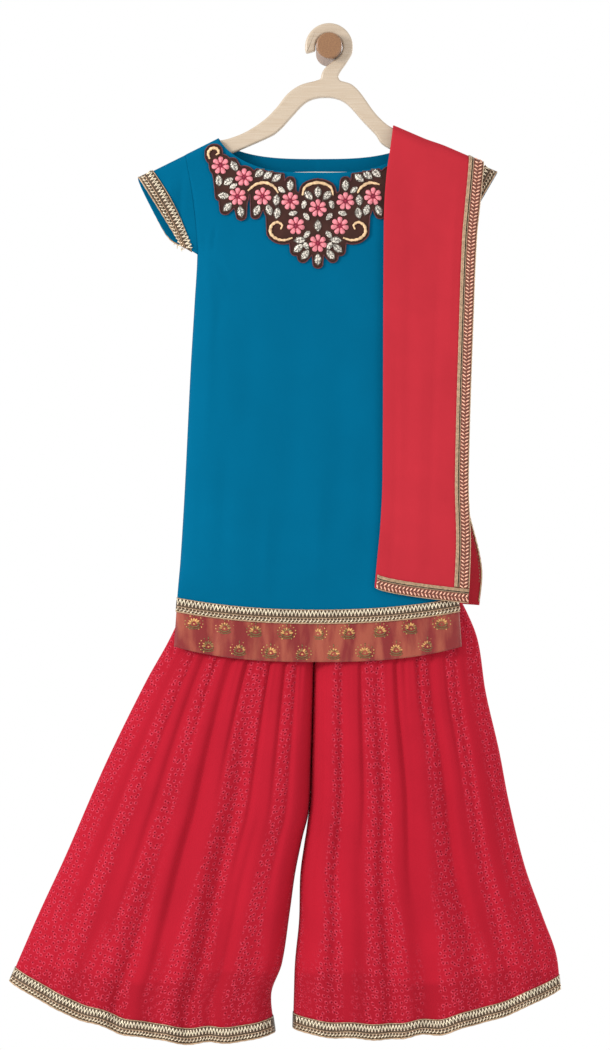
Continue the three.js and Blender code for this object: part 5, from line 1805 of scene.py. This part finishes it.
def fall_point(fall, down, across, level):
    """Points of a fall. down runs from the shoulder to the end, its last part under the end lace;
    level is the height over the kurta in the pile of the two layers."""
    down, across, level = np.broadcast_arrays(down, across, np.asarray(level, float))
    fold, free = reading(fall["fold"]), reading(fall["free"])
    top = np.full(across.shape, -120.0)
    for _ in range(6):
        x = mix(fold(top), free(top), across) - MIDDLE
        top = shoulder_line(x) + fall_seat(x) + level
    foot = fall["end"] - fall["end_drop"] * across ** 0.6
    lace_top = foot + LACE_WIDTH
    last = 1 - END_SHARE
    beside_lace = mix(top, lace_top, down / last)
    z = np.where(down > last, mix(lace_top, foot, (down - last) / END_SHARE), beside_lace)
    x = mix(fold(z), free(z), across) - MIDDLE
    seat = fall_seat(x)
    drop = shoulder_line(x) + seat + level - z
    clear = mix(CLEAR_HIGH, CLEAR_LOW, smooth((CLEAR_FROM - z) / CLEAR_OVER))
    lifted = mix(seat, clear, smooth(drop / 14))
    crease = 0.0
    for high_share, low_share, start, end, wide, high in FALL_CREASES:
        fade = np.sin(np.pi * np.clip((down - start) / (end - start), 0, 1))
        off = (across - mix(high_share, low_share, down)) / wide
        crease = crease + high * fade * np.exp(-off ** 2)
    crease = crease * np.clip(level / DUPATTA_PILE, 0, 1)
    depth = (hang_depth(drop, z) + lifted + level + crease) * ridge(drop)
    return stacked(MIDDLE + x, HANG_Y + fall["face"] * (SEAM / 2 + depth), z)


# The hanger's outline, by places across the wall and up it
BOARD = 12.0
ROUNDING = 2.6
# The rounded edge from the front to the back: which face it starts from and how far it turns
EDGE_TURNS = [(-1, 0), (-1, 30), (-1, 60), (-1, 90), (1, 90), (1, 120), (1, 150), (1, 180)]
ARM_HEIGHT = 20.0
ARM_ENDS = (-160.0, 148.0)
# How far under the kurta's shoulder the board lies, how far down an arm's end its corner
# stands out, and where each arm carries the kurta
UNDER_SEAM = 0.8
CORNER_DOWN = 0.7
SEATED_AT = {"left": -145, "right": 112}
OUTLINE_STEP = 1.6
# The hook's two arcs round the peg: radius, and the degrees between which it runs
HOOK_OUTSIDE = (30, 196, -10)
HOOK_INSIDE = (17, -66, 196)
HOOK_BACK = [(28.5, -9), (21, -21), (14.5, -30), (12, -36), (13, -42)]
HOOK_FRONT = [(-10, -40), (-9.5, -34), (-5, -26), (4, -18.5)]
RIGHT_TOP = [(20, -43.5), (29, -47), (40, -58), (56, -80.5), (69, -94), (82, -102.5)]
LEFT_TOP = [
    (-124, -114), (-103, -105.5), (-81, -91), (-65, -75), (-52, -58.5), (-36, -47.5), (-18, -42.5),
]
ARMS_UNDER = [
    (74, -126), (58, -109), (43, -93.5), (24, -72.5), (11, -65), (-3, -63), (-18, -64.5),
    (-31, -71), (-47, -88), (-62.5, -104.5), (-80, -115),
]


class GARMENT_OT_wood(bpy.types.Operator):
    """Makes the hanger with a smooth outline and finishes the peg, whose solid has its shape"""

    bl_idname = "garment.wood"
    bl_label = "Hanger and peg"

    def execute(self, context):
        outline = hanger_outline()
        tangent = np.roll(outline, -1, axis=0) - np.roll(outline, 1, axis=0)
        inwards = np.stack([tangent[:, 1], -tangent[:, 0]], axis=1)
        inwards /= np.linalg.norm(inwards, axis=1, keepdims=True)
        count = len(outline)
        points = []
        for face, degrees in EDGE_TURNS:
            turn = math.radians(degrees)
            y = HANG_Y + face * (BOARD / 2 - ROUNDING) - ROUNDING * math.cos(turn)
            for x, z in outline + inwards * ROUNDING * (1 - math.sin(turn)):
                points.append((x, y, z))
        last = (len(EDGE_TURNS) - 1) * count
        faces = [list(range(count))[::-1], [last + k for k in range(count)]]
        faces.extend(ring_faces(len(EDGE_TURNS), count))
        board = new_object("hanger_board", merged("hanger_board", [(points, faces)]))
        for flat_side in (0, 1):
            board.data.polygons[flat_side].use_smooth = False
        dressed(board, MATERIALS["beech"], "hanger_wood", "hanger")
        peg_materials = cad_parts["wall_peg"].data.materials
        peg_materials.clear()
        peg_materials.append(MATERIALS["peg_wood"])
        return {"FINISHED"}


def hanger_outline():
    """The hanger's outline as even steps round it, with its corners a little rounded."""
    left, right = ARM_ENDS

    def ridge_at(x):
        return float(shoulder_line(x - MIDDLE)) - CLOTH - UNDER_SEAM

    def arc(radius, start, end):
        turns = np.radians(np.linspace(start, end, 60))
        return np.stack([radius * np.cos(turns), radius * np.sin(turns)], axis=1)

    seated = {side: (x, ridge_at(x)) for side, x in SEATED_AT.items()}
    under = [
        (right - 6, ridge_at(right) - ARM_HEIGHT), *ARMS_UNDER, (left + 6, ridge_at(left) - ARM_HEIGHT),
    ]
    line = np.concatenate([
        arc(*HOOK_OUTSIDE),
        curve_through(HOOK_BACK, 12),
        curve_through([*RIGHT_TOP, seated["right"], (right, ridge_at(right))], 12),
        [(right + 2, ridge_at(right) - CORNER_DOWN * ARM_HEIGHT)],
        curve_through(under, 12),
        [(left - 2, ridge_at(left) - CORNER_DOWN * ARM_HEIGHT)],
        curve_through([(left, ridge_at(left)), seated["left"], *LEFT_TOP], 12),
        curve_through(HOOK_FRONT, 12),
        arc(*HOOK_INSIDE),
        arc(*HOOK_OUTSIDE)[:1],
    ])
    even = resampled(np.insert(line, 1, 0.0, axis=1), OUTLINE_STEP)[:-1, [0, 2]]
    for _ in range(3):
        even = (np.roll(even, 1, axis=0) + 2 * even + np.roll(even, -1, axis=0)) / 4
    return even


# The middle of the camera's frame in millimetres, and the lamps: place from that middle in
# metres, watts and size
FRAME_MIDDLE = (-30.0, HANG_Y, -597.0)
SENSOR = 36.0
LAMPS = {
    "Key light": ((-2.7, -1.8, 1.1), 88.0, 0.9),
    "Fill light": ((2.6, -2.2, 0.2), 14.0, 1.2),
    "Back light": ((2.7, 2.2, 1.0), 60.0, 1.2),
}
FLOOR_Z = -1.6
FLOOR_HALF = 2.0
FLOOR_SHADE = 0.86


class GARMENT_OT_stage(bpy.types.Operator):
    """Makes the camera, the lamps, the pale world and the floor"""

    bl_idname = "garment.stage"
    bl_label = "Camera and stage"

    def execute(self, context):
        g = garment().stage
        scene = context.scene
        middle = Vector(FRAME_MIDDLE) * MM
        camera = bpy.data.cameras.new("Camera")
        camera.sensor_fit = "VERTICAL"
        camera.sensor_height = SENSOR
        camera.lens = SENSOR * g.distance / g.height
        viewer = new_object("Camera", camera)
        viewer.location = middle + Vector((0, -g.distance, 0))
        viewer.rotation_euler = (math.pi / 2, 0, 0)
        scene.camera = viewer
        for name, (place, watts, size) in LAMPS.items():
            self.lamp(name, place, middle, watts, size)
        world = bpy.data.worlds.new("Pale studio")
        world.use_nodes = True
        background = world.node_tree.nodes["Background"]
        background.inputs["Color"].default_value = (1, 1, 1, 1)
        background.inputs["Strength"].default_value = g.light
        scene.world = world
        scene.view_settings.view_transform = "Standard"
        self.floor()
        return {"FINISHED"}

    def lamp(self, name, place, target, watts, size):
        light = bpy.data.lights.new(name, "AREA")
        light.energy = watts
        light.size = size
        thing = new_object(name, light)
        thing.location = target + Vector(place)
        aim = target - thing.location
        thing.rotation_euler = aim.to_track_quat("-Z", "Y").to_euler()

    def floor(self):
        signs = ((-1, -1), (1, -1), (1, 1), (-1, 1))
        corners = [(x * FLOOR_HALF, y * FLOOR_HALF, FLOOR_Z) for x, y in signs]
        mesh = bpy.data.meshes.new("floor")
        mesh.from_pydata(corners, [], [(0, 1, 2, 3)])
        thing = new_object("floor", mesh)
        material, _, _ = new_material("pale_floor", (FLOOR_SHADE,) * 3, 0.8)
        mesh.materials.append(material)


OPERATORS = (
    GARMENT_OT_stage,
    GARMENT_OT_wood,
    GARMENT_OT_kurta,
    GARMENT_OT_sleeves,
    GARMENT_OT_hem,
    GARMENT_OT_yoke,
    GARMENT_OT_sharara,
    GARMENT_OT_dupatta,
)


class GarmentSettings(bpy.types.PropertyGroup):
    """All sizes and colours of the set"""

    kurta: bpy.props.PointerProperty(type=GarmentKurtaSizes)
    yoke: bpy.props.PointerProperty(type=GarmentYokeSizes)
    lace: bpy.props.PointerProperty(type=GarmentLaceSizes)
    sharara: bpy.props.PointerProperty(type=GarmentShararaSizes)
    dupatta: bpy.props.PointerProperty(type=GarmentDupattaSizes)
    stage: bpy.props.PointerProperty(type=GarmentStageSizes)


class GARMENT_PT_panel(bpy.types.Panel):
    """Lists the pieces and their sizes in the sidebar"""

    bl_idname = "GARMENT_PT_panel"
    bl_label = "Shalwar kameez"
    bl_space_type = "VIEW_3D"
    bl_region_type = "UI"
    bl_category = "Garment"

    def draw(self, context):
        for operator in OPERATORS:
            self.layout.operator(operator.bl_idname)
        for group in ("kurta", "yoke", "lace", "sharara", "dupatta", "stage"):
            box = self.layout.box()
            settings = getattr(context.scene.garment, group)
            for key in settings.bl_rna.properties.keys():
                if key not in ("rna_type", "name"):
                    box.prop(settings, key)


CLASSES = (
    GarmentKurtaSizes,
    GarmentYokeSizes,
    GarmentLaceSizes,
    GarmentShararaSizes,
    GarmentDupattaSizes,
    GarmentStageSizes,
    GarmentSettings,
    *OPERATORS,
    GARMENT_PT_panel,
)


def register():
    for cls in CLASSES:
        bpy.utils.register_class(cls)
    bpy.types.Scene.garment = bpy.props.PointerProperty(type=GarmentSettings)


def unregister():
    del bpy.types.Scene.garment
    for cls in reversed(CLASSES):
        bpy.utils.unregister_class(cls)


def main():
    register()
    make_materials()
    for operator in OPERATORS:
        group, name = operator.bl_idname.split(".")
        getattr(getattr(bpy.ops, group), name)()


if __name__ == "__main__":
    main()
